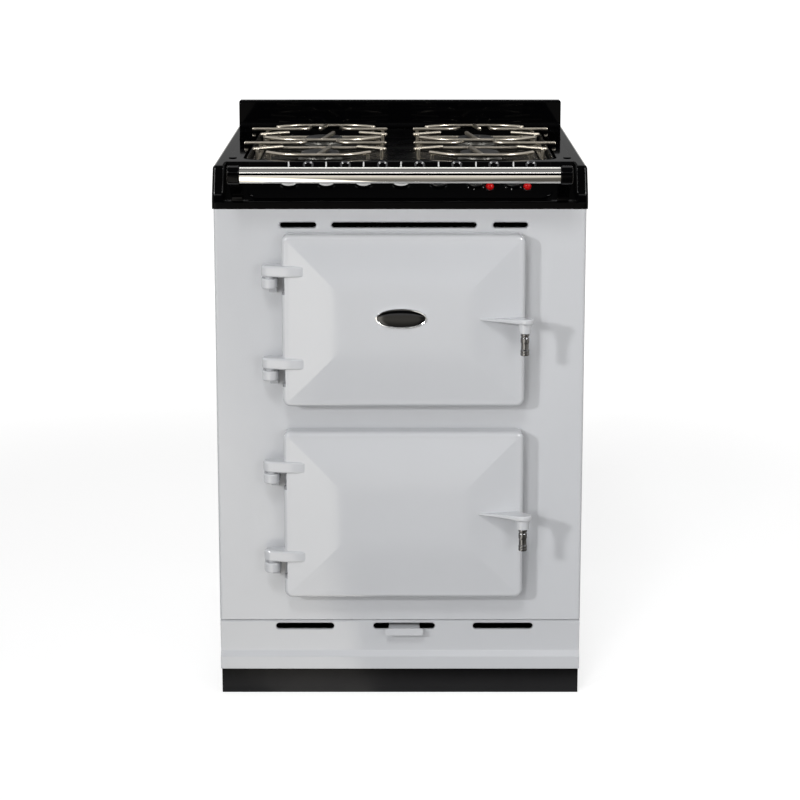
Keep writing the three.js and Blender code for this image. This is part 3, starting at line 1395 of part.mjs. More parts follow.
/** One oven: liner and shelf, and what heats or stirs it. */
function oven(level, z) {
  const rearClear = level === "upper" ? 0 : FAN_COVER_DEPTH;
  const shelf = node(`${level}_oven_shelf`, ovenShelf(rearClear), "steel");
  const shelfZ = z - MOUTH_HEIGHT / 2 + runnerHeight(SHELF_LEVEL) + SHELF_FRAME_RADIUS + SEAT_GAP;
  shelf.position.set(DOOR_SHIFT, 0, shelfZ);
  if (level === "upper") {
    const holes = elementEnds().map(([x, up]) =>
      moved(cylinder(ELEMENT_RADIUS + SEAT_GAP, -40, 1, 12).rotate([90, 0, 0]), x, OVEN_BACK - 1, up),
    );
    const liner = groupAt(0, 0, z, node("upper_oven_liner", ovenLiner(holes), "ovenEnamel"));
    return [liner, shelf, groupAt(0, 0, z, node("grill_element", grillElement(), "darkIron"))];
  }
  const hole = moved(cylinder(FAN_SHAFT_RADIUS + 1, -40, 1, 16).rotate([90, 0, 0]), DOOR_SHIFT, OVEN_BACK - 1, 0);
  const liner = groupAt(0, 0, z, node("lower_oven_liner", ovenLiner([hole]), "ovenEnamel"));
  const fanGroup = groupAt(
    DOOR_SHIFT,
    OVEN_BACK,
    z,
    node("oven_fan", ovenFan(), "aluminium"),
    node("fan_motor", fanMotor(), "galvanised"),
    node("fan_cover", fanCover(), "ovenEnamel"),
  );
  fanGroup.rotation.x = Math.PI / 2;
  return [liner, shelf, fanGroup];
}

/** Burners and pan supports. */
function hobTop() {
  const burners = BURNER_SPOTS.flatMap(([place, x, y]) => {
    const head = node(`burner_head_${place}`, burnerHead(), "aluminium");
    head.position.set(x, y, PAN_FLOOR);
    const cap = node(`burner_cap_${place}`, burnerCap(), "darkIron");
    cap.position.set(x, y, PAN_FLOOR + BURNER_HEIGHT);
    return [head, cap];
  });
  const supports = [-1, 1].map((side) => {
    const support = node(`pan_support_${side < 0 ? "left" : "right"}`, panSupport(side), "barSteel");
    support.position.x = side * BURNER_X;
    return support;
  });
  return [...burners, ...supports];
}

const rail = node("hand_rail", handRail(), "steel");
rail.position.set(0, -RAIL_REACH, RAIL_Z);

const cooker = groupAt(
  0,
  -MID_Y,
  0,
  node("plinth", plinth(), "plinth"),
  node("side_panel_left", sidePanel(-1), "enamel"),
  node("side_panel_right", sidePanel(1), "enamel"),
  node("back_panel", backPanel(), "galvanised"),
  node("lower_panel", lowerPanel(), "enamel"),
  node("pull_out_plate", pullOutPlate(), "enamel"),
  node("front_plate", frontPlate(), "enamel"),
  hinges("lower", LOWER_DOOR_Z),
  hinges("upper", UPPER_DOOR_Z),
  door("lower", LOWER_DOOR_Z),
  door("upper", UPPER_DOOR_Z),
  oven("lower", LOWER_DOOR_Z),
  oven("upper", UPPER_DOOR_Z),
  node("hob_casting", hobCasting(), "blackEnamel"),
  node("hob_pan", hobPan(), "blackEnamel"),
  node("splashback", splashback(), "blackEnamel"),
  hobTop(),
  controls(),
  node("gas_manifold", gasManifold(), "steel"),
  rail,
  node("rail_bracket_left", railBracket(-1), "blackEnamel"),
  node("rail_bracket_right", railBracket(1), "blackEnamel"),
);

export default cooker;
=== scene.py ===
"""Looks of a free-standing cast iron range cooker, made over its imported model.

Inside the classes, lengths are millimetres of the body's frame: X to the right, Y from the front plate back
to the wall, Z up from the floor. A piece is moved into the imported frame, in metres, when it is placed.
"""

from __future__ import annotations

import logging
import math
from dataclasses import dataclass, field
from enum import Enum
from typing import Callable, Sequence

import bmesh
import bpy
from mathutils import Matrix, Vector

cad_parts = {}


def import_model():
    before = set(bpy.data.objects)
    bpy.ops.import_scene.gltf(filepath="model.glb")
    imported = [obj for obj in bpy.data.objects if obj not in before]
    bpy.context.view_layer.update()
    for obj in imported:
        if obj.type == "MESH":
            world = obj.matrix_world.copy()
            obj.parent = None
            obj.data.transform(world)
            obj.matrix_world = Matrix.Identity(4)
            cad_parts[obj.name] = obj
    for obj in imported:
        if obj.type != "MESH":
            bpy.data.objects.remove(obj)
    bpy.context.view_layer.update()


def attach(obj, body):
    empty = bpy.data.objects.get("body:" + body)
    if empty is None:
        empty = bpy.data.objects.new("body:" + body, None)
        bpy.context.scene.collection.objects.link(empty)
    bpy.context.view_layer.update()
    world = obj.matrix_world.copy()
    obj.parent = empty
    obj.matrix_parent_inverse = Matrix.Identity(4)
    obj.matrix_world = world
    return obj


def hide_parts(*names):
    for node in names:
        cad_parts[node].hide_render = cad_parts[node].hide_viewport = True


LOG = logging.getLogger("cooker")

Point = tuple[float, float, float]
Flat = tuple[float, float]
Colour = tuple[float, float, float]
Tree = bpy.types.NodeTree
Node = bpy.types.Node
Socket = bpy.types.NodeSocket

METRES_PER_UNIT = 0.001
MIDDLE_Y = 256.5  # the body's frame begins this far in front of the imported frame's origin
BODY = "cooker"
WELD = 0.004  # points of a shell closer than this become one
TINY = 0.001  # edges of a shell shorter than this are taken out
CUT_WELD = 0.002  # as WELD, after a boolean operation
POINTED = 0.0001  # radius that stands for none, where a turned shell ends on its axis
DOME = ((0.0, 1.0), (0.5, 0.87), (0.87, 0.5), (1.0, 0.05))  # height and radius of a bar's rounded end


class Axis(Enum):
    """Direction in which an outline is drawn out.

    The value tells which of three numbers go to X, Y and Z: 0 and 1 are the outline's own, 2 is along the axis.
    """

    X = (2, 0, 1)
    Y = (0, 2, 1)
    Z = (0, 1, 2)


# ---- outlines


def arc(x: float, y: float, radius: float, start: float, end: float, steps: int) -> list[Flat]:
    """Points of an arc.

    Args:
        x: Centre, first coordinate.
        y: Centre, second coordinate.
        radius: Radius of the arc.
        start: First angle in degrees.
        end: Last angle in degrees.
        steps: Number of chords.

    Returns:
        The arc's points, both ends included.
    """
    angles = (math.radians(start + (end - start) * i / steps) for i in range(steps + 1))
    return [(x + radius * math.cos(a), y + radius * math.sin(a)) for a in angles]


def circle(x: float, y: float, radius: float, steps: int) -> list[Flat]:
    """Outline of a circle."""
    return arc(x, y, radius, 0, 360, steps)[:-1]


def rounded(x0: float, x1: float, y0: float, y1: float, radius: float, steps: int = 8) -> list[Flat]:
    """Outline of a rectangle with round corners.

    Args:
        x0: Left edge.
        x1: Right edge.
        y0: Lower edge.
        y1: Upper edge.
        radius: Radius of the corners, made smaller where it would not fit.
        steps: Chords in each corner.

    Returns:
        The outline's points, anticlockwise.
    """
    straight = 0.01  # what stays straight of the shorter sides
    r = min(radius, (x1 - x0) / 2 - straight, (y1 - y0) / 2 - straight)
    corners = ((x1 - r, y0 + r, -90), (x1 - r, y1 - r, 0), (x0 + r, y1 - r, 90), (x0 + r, y0 + r, 180))
    return [point for x, y, start in corners for point in arc(x, y, r, start, start + 90, steps)]


def smoothed(points: Sequence[Point], steps: int) -> list[Vector]:
    """Points on a smooth curve through a few given ones.

    Args:
        points: Points that the curve passes through.
        steps: Samples between two neighbouring points.

    Returns:
        The samples, from the first point to the last.
    """
    row = [Vector(p) for p in points]
    if len(row) == 2:
        return row
    padded = [2 * row[0] - row[1], *row, 2 * row[-1] - row[-2]]
    samples: list[Vector] = []
    for a, b, c, d in zip(padded, padded[1:], padded[2:], padded[3:]):
        for i in range(steps):
            t = i / steps
            square, cube = 2 * a - 5 * b + 4 * c - d, 3 * b - a - 3 * c + d
            samples.append(0.5 * (2 * b + (c - a) * t + square * t * t + cube * t**3))
    return [*samples, row[-1]]


# ---- surfaces


class Form:
    """A surface being made from closed shells, in millimetres of the body's frame."""

    def __init__(self) -> None:
        """Starts with no shell."""
        self.mesh = bmesh.new()

    def _take(self, shell: bmesh.types.BMesh, soft: float) -> "Form":
        """Adds one shell, with its sharp edges rounded first where a radius is given.

        Args:
            shell: The shell, which isn't used again.
            soft: Radius on its sharp edges.

        Returns:
            The form itself.
        """
        bmesh.ops.remove_doubles(shell, verts=shell.verts, dist=WELD)
        bmesh.ops.dissolve_degenerate(shell, edges=shell.edges, dist=TINY)
        bmesh.ops.recalc_face_normals(shell, faces=shell.faces)
        if soft > 0:
            soften(shell, soft)
        scratch = bpy.data.meshes.new("shell")
        shell.to_mesh(scratch)
        shell.free()
        self.mesh.from_mesh(scratch)
        bpy.data.meshes.remove(scratch)
        return self

    def loft(self, rings: Sequence[Sequence[Point]], closed: bool = False, soft: float = 0.0) -> "Form":
        """Adds a shell through rings that have equal numbers of points.

        Args:
            rings: The rings, in order.
            closed: True where the last ring joins the first, False where both ends get a cap.
            soft: Radius on its sharp edges.

        Returns:
            The form itself.
        """
        shell = bmesh.new()
        rows = [[shell.verts.new(point) for point in ring] for ring in rings]
        for low, high in zip(rows, [*rows[1:], rows[0]] if closed else rows[1:]):
            for i in range(len(low)):
                j = (i + 1) % len(low)
                shell.faces.new((low[i], low[j], high[j], high[i]))
        if not closed:
            shell.faces.new(list(reversed(rows[0])))
            shell.faces.new(rows[-1])
        return self._take(shell, soft)

    def prism(self, outline: Sequence[Flat], axis: Axis, low: float, high: float, soft: float = 0.0) -> "Form":
        """Adds an outline drawn out along an axis.

        Args:
            outline: Points in the two other axes, in alphabetical order.
            axis: Direction in which the outline is drawn out.
            low: Where it begins along the axis.
            high: Where it ends.
            soft: Radius on its sharp edges.

        Returns:
            The form itself.
        """
        rings = [[tuple((a, b, along)[i] for i in axis.value) for a, b in outline] for along in (low, high)]
        return self.loft(rings, soft=soft)

    def block(self, low: Point, high: Point, soft: float = 0.0) -> "Form":
        """Adds a box between two corners, its edges rounded by a radius."""
        outline = [(low[0], low[1]), (high[0], low[1]), (high[0], high[1]), (low[0], high[1])]
        return self.prism(outline, Axis.Z, low[2], high[2], soft)

    def turned(
        self, profile: Sequence[Flat], at: Point = (0, 0, 0), steps: int = 40, closed: bool = False
    ) -> "Form":
        """Adds a shell turned about a vertical line.

        Args:
            profile: Radius and height of each point.
            at: Where the line stands.
            steps: Chords around it.
            closed: True where the profile goes round a ring, False where it goes from the axis back to it.

        Returns:
            The form itself.
        """
        x, y, z = at
        rings = [[(px, py, z + h) for px, py in circle(x, y, max(r, POINTED), steps)] for r, h in profile]
        return self.loft(rings, closed)

    def rod(
        self, points: Sequence[Point], radius: float, sides: int = 12, steps: int = 6, dome: float = 0.6
    ) -> "Form":
        """Adds a round bar bent smoothly through points, with domed ends.

        Args:
            points: Points on the bar's axis.
            radius: Radius of the bar.
            sides: Chords around it.
            steps: Samples between two neighbouring points.
            dome: Length of each end's dome, as a share of the radius.

        Returns:
            The form itself.
        """
        line = smoothed(points, steps)
        last = len(line) - 1
        round_end = [(dome * radius * height, size) for height, size in DOME]
        across = (line[1] - line[0]).orthogonal().normalized()
        rings: list[list[Point]] = []
        for i, centre in enumerate(line):
            along = (line[min(i + 1, last)] - line[max(i - 1, 0)]).normalized()
            across = (across - along * across.dot(along)).normalized()
            other = along.cross(across)
            shifts = [(0.0, 1.0)]
            if i == 0:
                shifts = [(-shift, size) for shift, size in reversed(round_end)]
            elif i == last:
                shifts = round_end
            for shift, size in shifts:
                middle, r = centre + along * shift, size * radius
                rings.append([tuple(middle + (across * c + other * s) * r) for c, s in circle(0, 0, 1, sides)])
        return self.loft(rings)

    def add(self, *others: "Form") -> "Form":
        """Adds the shells of other forms, which aren't used again.

        Args:
            others: The other forms.

        Returns:
            The form itself.
        """
        for other in others:
            scratch = bpy.data.meshes.new("shells")
            other.mesh.to_mesh(scratch)
            other.mesh.free()
            self.mesh.from_mesh(scratch)
            bpy.data.meshes.remove(scratch)
        return self

    def moved(self, matrix: Matrix) -> "Form":
        """Moves the whole form by a matrix."""
        self.mesh.transform(matrix)
        return self

    def shaped(self, rule: Callable[[Vector], Point]) -> "Form":
        """Moves every point of the form by a rule.

        Args:
            rule: Gives the new place of a point.

        Returns:
            The form itself.
        """
        for vertex in self.mesh.verts:
            vertex.co = rule(vertex.co)
        return self

    def cut(self, *tools: "Form") -> "Form":
        """Takes the tools' volumes out of the form."""
        return self._combine(tools, "DIFFERENCE")

    def kept_inside(self, other: "Form") -> "Form":
        """Keeps only what lies inside another form."""
        return self._combine((other,), "INTERSECT")

    def _combine(self, tools: Sequence["Form"], operation: str) -> "Form":
        """Joins the form with tools by one boolean operation each.

        Args:
            tools: The tools, which aren't used again.
            operation: Name of the operation.

        Returns:
            The form itself.
        """
        target = _scratch_object(self.mesh)
        others = [_scratch_object(tool.mesh) for tool in tools]
        for other in others:
            modifier = target.modifiers.new("combine", "BOOLEAN")
            modifier.operation = operation
            modifier.solver = "EXACT"
            modifier.object = other
        bpy.context.view_layer.update()
        graph = bpy.context.evaluated_depsgraph_get()
        result = bpy.data.meshes.new_from_object(target.evaluated_get(graph))
        self.mesh = bmesh.new()
        self.mesh.from_mesh(result)
        bmesh.ops.remove_doubles(self.mesh, verts=self.mesh.verts, dist=CUT_WELD)
        for leftover in (target, *others):
            data = leftover.data
            bpy.data.objects.remove(leftover)
            bpy.data.meshes.remove(data)
        bpy.data.meshes.remove(result)
        return self

    def softened(self, width: float, segments: int = 3, angle: float = 35.0) -> "Form":
        """Rounds the form's sharp edges.

        Args:
            width: Radius on the edges.
            segments: Faces across each rounded edge.
            angle: Edges sharper than this many degrees are rounded.

        Returns:
            The form itself.
        """
        soften(self.mesh, width, segments, angle)
        return self

    def piece(
        self,
        name: str,
        finish: "Finish",
        body: str = BODY,
        replaces: Sequence[str] = (),
        crease: float = 34.0,
    ) -> bpy.types.Object:
        """Makes a piece of the form and lets it move with a body.

        Args:
            name: Name of the new piece.
            finish: Finish on its whole surface.
            body: Body that it moves with.
            replaces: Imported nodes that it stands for.
            crease: Edges sharper than this many degrees stay sharp in the shading.

        Returns:
            The new piece.
        """
        self.mesh.transform(Matrix.Scale(METRES_PER_UNIT, 4) @ Matrix.Translation((0, -MIDDLE_Y, 0)))
        rough = bpy.data.meshes.new(name + ".rough")
        self.mesh.to_mesh(rough)
        self.mesh.free()
        rough.polygons.foreach_set("use_smooth", [True] * len(rough.polygons))
        rough.set_sharp_from_angle(angle=math.radians(crease))
        holder = linked(name + ".rough", rough)
        even = holder.modifiers.new("even", "WEIGHTED_NORMAL")
        even.keep_sharp = True
        bpy.context.view_layer.update()
        graph = bpy.context.evaluated_depsgraph_get()
        mesh = bpy.data.meshes.new_from_object(
            holder.evaluated_get(graph), preserve_all_data_layers=True, depsgraph=graph
        )
        mesh.name = name
        bpy.data.objects.remove(holder)
        bpy.data.meshes.remove(rough)
        mesh.materials.clear()
        mesh.materials.append(finish.material())
        made = linked(name, mesh)
        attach(made, body)
        if replaces:
            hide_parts(*replaces)
        LOG.info("%s: %d faces, on %s", name, len(mesh.polygons), body)
        return made


def soften(shell: bmesh.types.BMesh, width: float, segments: int = 3, angle: float = 35.0) -> None:
    """Rounds the sharp edges of a mesh by a radius.

    Args:
        shell: The mesh.
        width: Radius on the edges.
        segments: Faces across each rounded edge.
        angle: Edges sharper than this many degrees are rounded.
    """
    limit = math.radians(angle)
    sharp = [e for e in shell.edges if len(e.link_faces) == 2 and e.calc_face_angle(0.0) > limit]
    bmesh.ops.bevel(
        shell,
        geom=sharp,
        offset=width,
        offset_type="OFFSET",
        segments=segments,
        profile=0.5,
        affect="EDGES",
        clamp_overlap=True,
    )


def _scratch_object(mesh: bmesh.types.BMesh) -> bpy.types.Object:
    """Puts a mesh into a short-lived object and frees it.

    Args:
        mesh: The mesh, which isn't used again.

    Returns:
        The object.
    """
    data = bpy.data.meshes.new("scratch")
    mesh.to_mesh(data)
    mesh.free()
    return linked("scratch", data)


def linked(name: str, data: bpy.types.ID) -> bpy.types.Object:
    """Adds an object to the scene.

    Args:
        name: Name of the object.
        data: Its mesh, lamp or camera.

    Returns:
        The object.
    """
    made = bpy.data.objects.new(name, data)
    bpy.context.scene.collection.objects.link(made)
    return made


def dress(finish: "Finish", *nodes: str) -> None:
    """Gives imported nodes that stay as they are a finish.

    Args:
        finish: The finish.
        nodes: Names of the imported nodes.
    """
    for name in nodes:
        packed = bpy.data.objects[name]
        packed.data.materials.clear()
        packed.data.materials.append(finish.material())
        LOG.info("%s: packed node in %s", name, finish.name)


# ---- shader nodes


def feed(tree: Tree, target: Socket, value: object) -> None:
    """Links a socket to an input, or sets the input to a value.

    Args:
        tree: The node tree.
        target: The input.
        value: A socket to link, or a value to set.
    """
    if isinstance(value, Socket):
        tree.links.new(value, target)
    else:
        target.default_value = value


def add_node(tree: Tree, kind: str, **values: object) -> Node:
    """Adds a node to a tree and feeds its inputs.

    Args:
        tree: The node tree.
        kind: The node's type.
        values: A socket to link or a value to set, under the name of a property, or of an input with
            spaces as underscores.

    Returns:
        The new node.
    """
    made = tree.nodes.new(kind)
    inputs: dict[str, object] = {}
    for key, value in values.items():
        name = key.replace("_", " ")
        if name not in made.inputs and hasattr(made, key):
            setattr(made, key, value)
        else:
            inputs[name] = value
    for name, value in inputs.items():
        feed(tree, next(s for s in made.inputs if s.name == name and s.enabled), value)
    return made


def calc(tree: Tree, operation: str, *values: object) -> Socket:
    """Adds a Math node.

    Args:
        tree: The node tree.
        operation: What the node does.
        values: Its inputs in order, each a socket to link or a number.

    Returns:
        Socket with the result.
    """
    made = add_node(tree, "ShaderNodeMath", operation=operation)
    for target, value in zip(made.inputs, values):
        feed(tree, target, value)
    return made.outputs[0]


def ranged(tree: Tree, value: Socket, source: tuple, target: tuple, smooth: bool = False) -> Socket:
    """Adds a Map Range node.

    Args:
        tree: The node tree.
        value: Socket with the value.
        source: Lowest and highest value that it takes.
        target: What these two are mapped to, as numbers or sockets.
        smooth: True where the mapped value eases in and out.

    Returns:
        Socket with the mapped value.
    """
    made = add_node(
        tree,
        "ShaderNodeMapRange",
        interpolation_type="SMOOTHSTEP" if smooth else "LINEAR",
        Value=value,
        From_Min=source[0],
        From_Max=source[1],
        To_Min=target[0],
        To_Max=target[1],
    )
    return made.outputs["Result"]


def mixed(tree: Tree, share: Socket, first: object, second: object) -> Socket:
    """Adds a Mix node for colours.

    Args:
        tree: The node tree.
        share: Socket with the share of the second colour.
        first: First colour, or its socket.
        second: Second colour, or its socket.

    Returns:
        Socket with the mixed colour.
    """
    made = add_node(tree, "ShaderNodeMix", data_type="RGBA")
    share_input, first_input, second_input, result = 0, 6, 7, 2
    for index, value in ((share_input, share), (first_input, first), (second_input, second)):
        feed(tree, made.inputs[index], value)
    return made.outputs[result]


def dimmed(tree: Tree, colour: Socket, by: Socket) -> Socket:
    """Adds a node that scales a colour by a value.

    Args:
        tree: The node tree.
        colour: Socket with the colour.
        by: Socket with the value.

    Returns:
        Socket with the scaled colour.
    """
    made = add_node(tree, "ShaderNodeVectorMath", operation="SCALE", Scale=by)
    tree.links.new(colour, made.inputs[0])
    return made.outputs[0]


# ---- shader groups


@dataclass
class GroupMaker:
    """Builds one shader node group with named inputs and outputs."""

    name: str
    tree: Tree = field(init=False)
    inside: Node = field(init=False)
    outside: Node = field(init=False)

    def __post_init__(self) -> None:
        """Makes the empty group with its two end nodes."""
        self.tree = bpy.data.node_groups.new(self.name, "ShaderNodeTree")
        self.inside = self.tree.nodes.new("NodeGroupInput")
        self.outside = self.tree.nodes.new("NodeGroupOutput")

    def takes(self, name: str, kind: str, default: object) -> Socket:
        """Adds an input with a default and gives its socket inside the group.

        Args:
            name: Name of the input.
            kind: Type of its socket.
            default: Its default.

        Returns:
            The socket.
        """
        socket = self.tree.interface.new_socket(name, in_out="INPUT", socket_type=kind)
        socket.default_value = default
        return self.inside.outputs[name]

    def number(self, name: str, default: float) -> Socket:
        """Adds an input for a number."""
        return self.takes(name, "NodeSocketFloat", default)

    def colour(self, name: str, default: Colour) -> Socket:
        """Adds an input for a colour."""
        return self.takes(name, "NodeSocketColor", (*default, 1))

    def gives(self, name: str, kind: str, source: Socket) -> None:
        """Adds an output that comes from a socket inside the group."""
        self.tree.interface.new_socket(name, in_out="OUTPUT", socket_type=kind)
        self.tree.links.new(source, self.outside.inputs[name])

    def gives_normal(self, height: Socket, depth: Socket) -> None:
        """Adds an output with the normal of a relief."""
        bump = self.node("ShaderNodeBump", Strength=1.0, Distance=depth, Height=height)
        self.gives("Normal", "NodeSocketVector", bump.outputs["Normal"])

    def node(self, kind: str, **values: object) -> Node:
        """Adds a node, as add_node does."""
        return add_node(self.tree, kind, **values)

    def place(self) -> Socket:
        """Adds the place on the piece, in metres."""
        return self.node("ShaderNodeTexCoord").outputs["Object"]

    def noise(self, place: Socket, scale: object, detail: float, roughness: float = 0.5) -> Socket:
        """Adds noise over a place."""
        made = self.node("ShaderNodeTexNoise", Vector=place, Scale=scale, Detail=detail, Roughness=roughness)
        return made.outputs["Fac"]


def group(name: str, build: Callable[[GroupMaker], None]) -> Tree:
    """Gives a node group, built the first time that it is asked for.

    Args:
        name: Name of the group.
        build: Function that fills it.

    Returns:
        The group's node tree.
    """
    found = bpy.data.node_groups.get(name)
    if found:
        return found
    maker = GroupMaker(name)
    build(maker)
    return maker.tree


def build_mottle(g: GroupMaker) -> None:
    """Colour that drifts slowly and carries fine specks.

    Args:
        g: Maker of the group.
    """
    colour = g.colour("Colour", (0.5, 0.5, 0.5))
    scale = g.number("Scale", 12.0)
    drift = g.number("Drift", 0.03)
    specks = g.number("Specks", 0.02)
    place = g.place()
    slow = g.noise(place, scale, 3.0)
    fine = g.noise(place, 900.0, 1.0)
    shares = [
        calc(g.tree, "MULTIPLY_ADD", calc(g.tree, "SUBTRACT", source, 0.5), amount, 1.0)
        for source, amount in ((slow, drift), (fine, specks))
    ]
    g.gives("Colour", "NodeSocketColor", dimmed(g.tree, colour, calc(g.tree, "MULTIPLY", *shares)))


def build_peel(g: GroupMaker) -> None:
    """Soft waves of a fired or moulded surface, as a normal.

    Args:
        g: Maker of the group.
    """
    scale = g.number("Scale", 120.0)
    depth = g.number("Depth", 0.0001)
    g.gives_normal(g.noise(g.place(), scale, 2.0), depth)


def build_smudge(g: GroupMaker) -> None:
    """Roughness that wanders between two values.

    Args:
        g: Maker of the group.
    """
    low = g.number("Low", 0.1)
    high = g.number("High", 0.3)
    scale = g.number("Scale", 25.0)
    noise = g.noise(g.place(), scale, 5.0, 0.6)
    g.gives("Roughness", "NodeSocketFloat", ranged(g.tree, noise, (0.3, 0.7), (low, high)))


def build_grain(g: GroupMaker) -> None:
    """Fine lines along one direction, as a normal.

    Args:
        g: Maker of the group.
    """
    stretch = g.takes("Stretch", "NodeSocketVector", (20.0, 2000.0, 2000.0))
    depth = g.number("Depth", 0.00002)
    drawn = g.node("ShaderNodeVectorMath", operation="MULTIPLY")
    g.tree.links.new(g.place(), drawn.inputs[0])
    g.tree.links.new(stretch, drawn.inputs[1])
    g.gives_normal(g.noise(drawn.outputs[0], 1.0, 3.0), depth)


def build_dust(g: GroupMaker) -> None:
    """Colour with a thin film of dust on faces that look up.

    Args:
        g: Maker of the group.
    """
    colour = g.colour("Colour", (0.1, 0.1, 0.1))
    film = g.colour("Dust", (0.4, 0.38, 0.35))
    amount = g.number("Amount", 0.1)
    up = g.node("ShaderNodeSeparateXYZ", Vector=g.node("ShaderNodeNewGeometry").outputs["Normal"]).outputs["Z"]
    facing = ranged(g.tree, up, (0.0, 1.0), (0.15, 1.0))
    patches = g.noise(g.place(), 60.0, 4.0)
    share = calc(g.tree, "MULTIPLY", calc(g.tree, "MULTIPLY", facing, patches), amount)
    g.gives("Colour", "NodeSocketColor", mixed(g.tree, share, colour, film))


def build_painted_shade(g: GroupMaker) -> None:
    """Painted shade: colour that gets darker from one height to another.

    Args:
        g: Maker of the group.
    """
    colour = g.colour("Colour", (0.1, 0.1, 0.1))
    low = g.number("Low", 0.0)
    high = g.number("High", 0.05)
    least = g.number("Least", 0.2)
    height = g.node("ShaderNodeSeparateXYZ", Vector=g.place()).outputs["Z"]
    share = ranged(g.tree, height, (low, high), (1.0, least))
    g.gives("Colour", "NodeSocketColor", dimmed(g.tree, colour, share))


def build_weave(g: GroupMaker) -> None:
    """Crossing strands of a braided rope, as a normal and a mask.

    Args:
        g: Maker of the group.
    """
    scale = g.number("Scale", 260.0)
    depth = g.number("Depth", 0.0005)
    place = g.place()
    heights = []
    for turn in (0.7, -0.7):
        turned = g.node("ShaderNodeMapping", Vector=place, Rotation=(turn, turn, turn)).outputs[0]
        heights.append(g.node("ShaderNodeTexWave", Vector=turned, Scale=scale, Distortion=0.6).outputs["Fac"])
    top = calc(g.tree, "MAXIMUM", *heights)
    g.gives_normal(top, depth)
    g.gives("Strands", "NodeSocketFloat", top)


# ---- finishes


@dataclass(frozen=True)
class Finish:
    """What every finish has: a name, the record's slot and a base colour."""

    name: str
    slot: str
    colour: Colour
    shine: float = 0.5  # the shader's specular level

    def material(self) -> bpy.types.Material:
        """Gives the finish's material, made the first time that it is asked for.

        Returns:
            The material.
        """
        found = bpy.data.materials.get(self.name)
        if found:
            return found
        made = bpy.data.materials.new(self.name)
        made.use_nodes = True
        shader = made.node_tree.nodes["Principled BSDF"]
        shader.inputs["Specular IOR Level"].default_value = self.shine
        made.diffuse_color = (*self.colour, 1)
        self.build(made.node_tree, shader)
        return made

    def build(self, tree: Tree, shader: Node) -> None:
        """Adds what the finish needs around its shader."""
        raise NotImplementedError

    def placed(self, tree: Tree, name: str, build: Callable[[GroupMaker], None], **values: object) -> Node:
        """Places a shared shader group in this finish with its own values.

        Args:
            tree: The material's node tree.
            name: Name of the group.
            build: Function that fills the group.
            values: Its inputs by name, each a socket or a value.

        Returns:
            The placed group.
        """
        made = tree.nodes.new("ShaderNodeGroup")
        made.node_tree = group(name, build)
        for key, value in values.items():
            feed(tree, made.inputs[key], value)
        return made


@dataclass(frozen=True)
class Surface(Finish):
    """Finish with drifting colour, a gloss that wanders and a relief."""

    rough: Flat = (0.2, 0.3)  # lowest and highest roughness
    drift: float = 0.05
    drift_scale: float = 30.0
    specks: float = 0.03
    gloss_scale: float = 40.0

    def build(self, tree: Tree, shader: Node) -> None:
        """Adds the colour, the gloss and the relief.

        Args:
            tree: The material's node tree.
            shader: The material's shader.
        """
        mottle = self.placed(
            tree,
            "mottle",
            build_mottle,
            Colour=(*self.colour, 1),
            Scale=self.drift_scale,
            Drift=self.drift,
            Specks=self.specks,
        )
        low, high = self.rough
        smudge = self.placed(tree, "smudge", build_smudge, Low=low, High=high, Scale=self.gloss_scale)
        tree.links.new(self.film(tree, mottle.outputs["Colour"]), shader.inputs["Base Color"])
        tree.links.new(smudge.outputs["Roughness"], shader.inputs["Roughness"])
        tree.links.new(self.relief(tree).outputs["Normal"], shader.inputs["Normal"])

    def film(self, tree: Tree, colour: Socket) -> Socket:
        """Lays a film over the colour, such as dust and painted shade; there is none on most finishes."""
        return colour

    def relief(self, tree: Tree) -> Node:
        """Places the group that gives the relief's normal."""
        raise NotImplementedError


@dataclass(frozen=True)
class Enamel(Surface):
    """Fired glass enamel on iron or sheet: even colour, soft waves, a clear gloss."""

    rough: Flat = (0.1, 0.2)
    drift: float = 0.02
    drift_scale: float = 9.0
    specks: float = 0.02
    gloss_scale: float = 22.0
    waves: float = 0.00012
    wave_scale: float = 60.0

    def relief(self, tree: Tree) -> Node:
        """Waves of the fired surface."""
        return self.placed(tree, "peel", build_peel, Scale=self.wave_scale, Depth=self.waves)


@dataclass(frozen=True)
class Metal(Surface):
    """Bare or plated metal with fine lines along one direction."""

    stretch: Point = (20.0, 2000.0, 2000.0)
    lines: float = 0.000004

    def build(self, tree: Tree, shader: Node) -> None:
        """Makes the shader a metal's, then adds the rest."""
        shader.inputs["Metallic"].default_value = 1.0
        super().build(tree, shader)

    def relief(self, tree: Tree) -> Node:
        """Drawn lines."""
        return self.placed(tree, "grain", build_grain, Stretch=self.stretch, Depth=self.lines)


@dataclass(frozen=True)
class Moulded(Surface):
    """Moulded plastic, print or ceramic with a faint texture."""

    rough: Flat = (0.2, 0.35)
    drift_scale: float = 40.0
    specks: float = 0.04
    gloss_scale: float = 60.0
    texture: float = 0.00003
    texture_scale: float = 700.0

    def relief(self, tree: Tree) -> Node:
        """Faint texture of the mould."""
        return self.placed(tree, "peel", build_peel, Scale=self.texture_scale, Depth=self.texture)


@dataclass(frozen=True)
class Painted(Surface):
    """Plain paint, matt enamel or raw casting with a film of dust on what looks up."""

    rough: Flat = (0.4, 0.55)
    drift: float = 0.12
    drift_scale: float = 25.0
    specks: float = 0.08
    gloss_scale: float = 35.0
    pits: float = 0.0001
    pit_scale: float = 500.0
    dust: float = 0.08

    def film(self, tree: Tree, colour: Socket) -> Socket:
        """Lays the dust over the colour."""
        return self.placed(tree, "dust", build_dust, Colour=colour, Amount=self.dust).outputs["Colour"]

    def relief(self, tree: Tree) -> Node:
        """Pits of the paint or the casting."""
        return self.placed(tree, "peel", build_peel, Scale=self.pit_scale, Depth=self.pits)


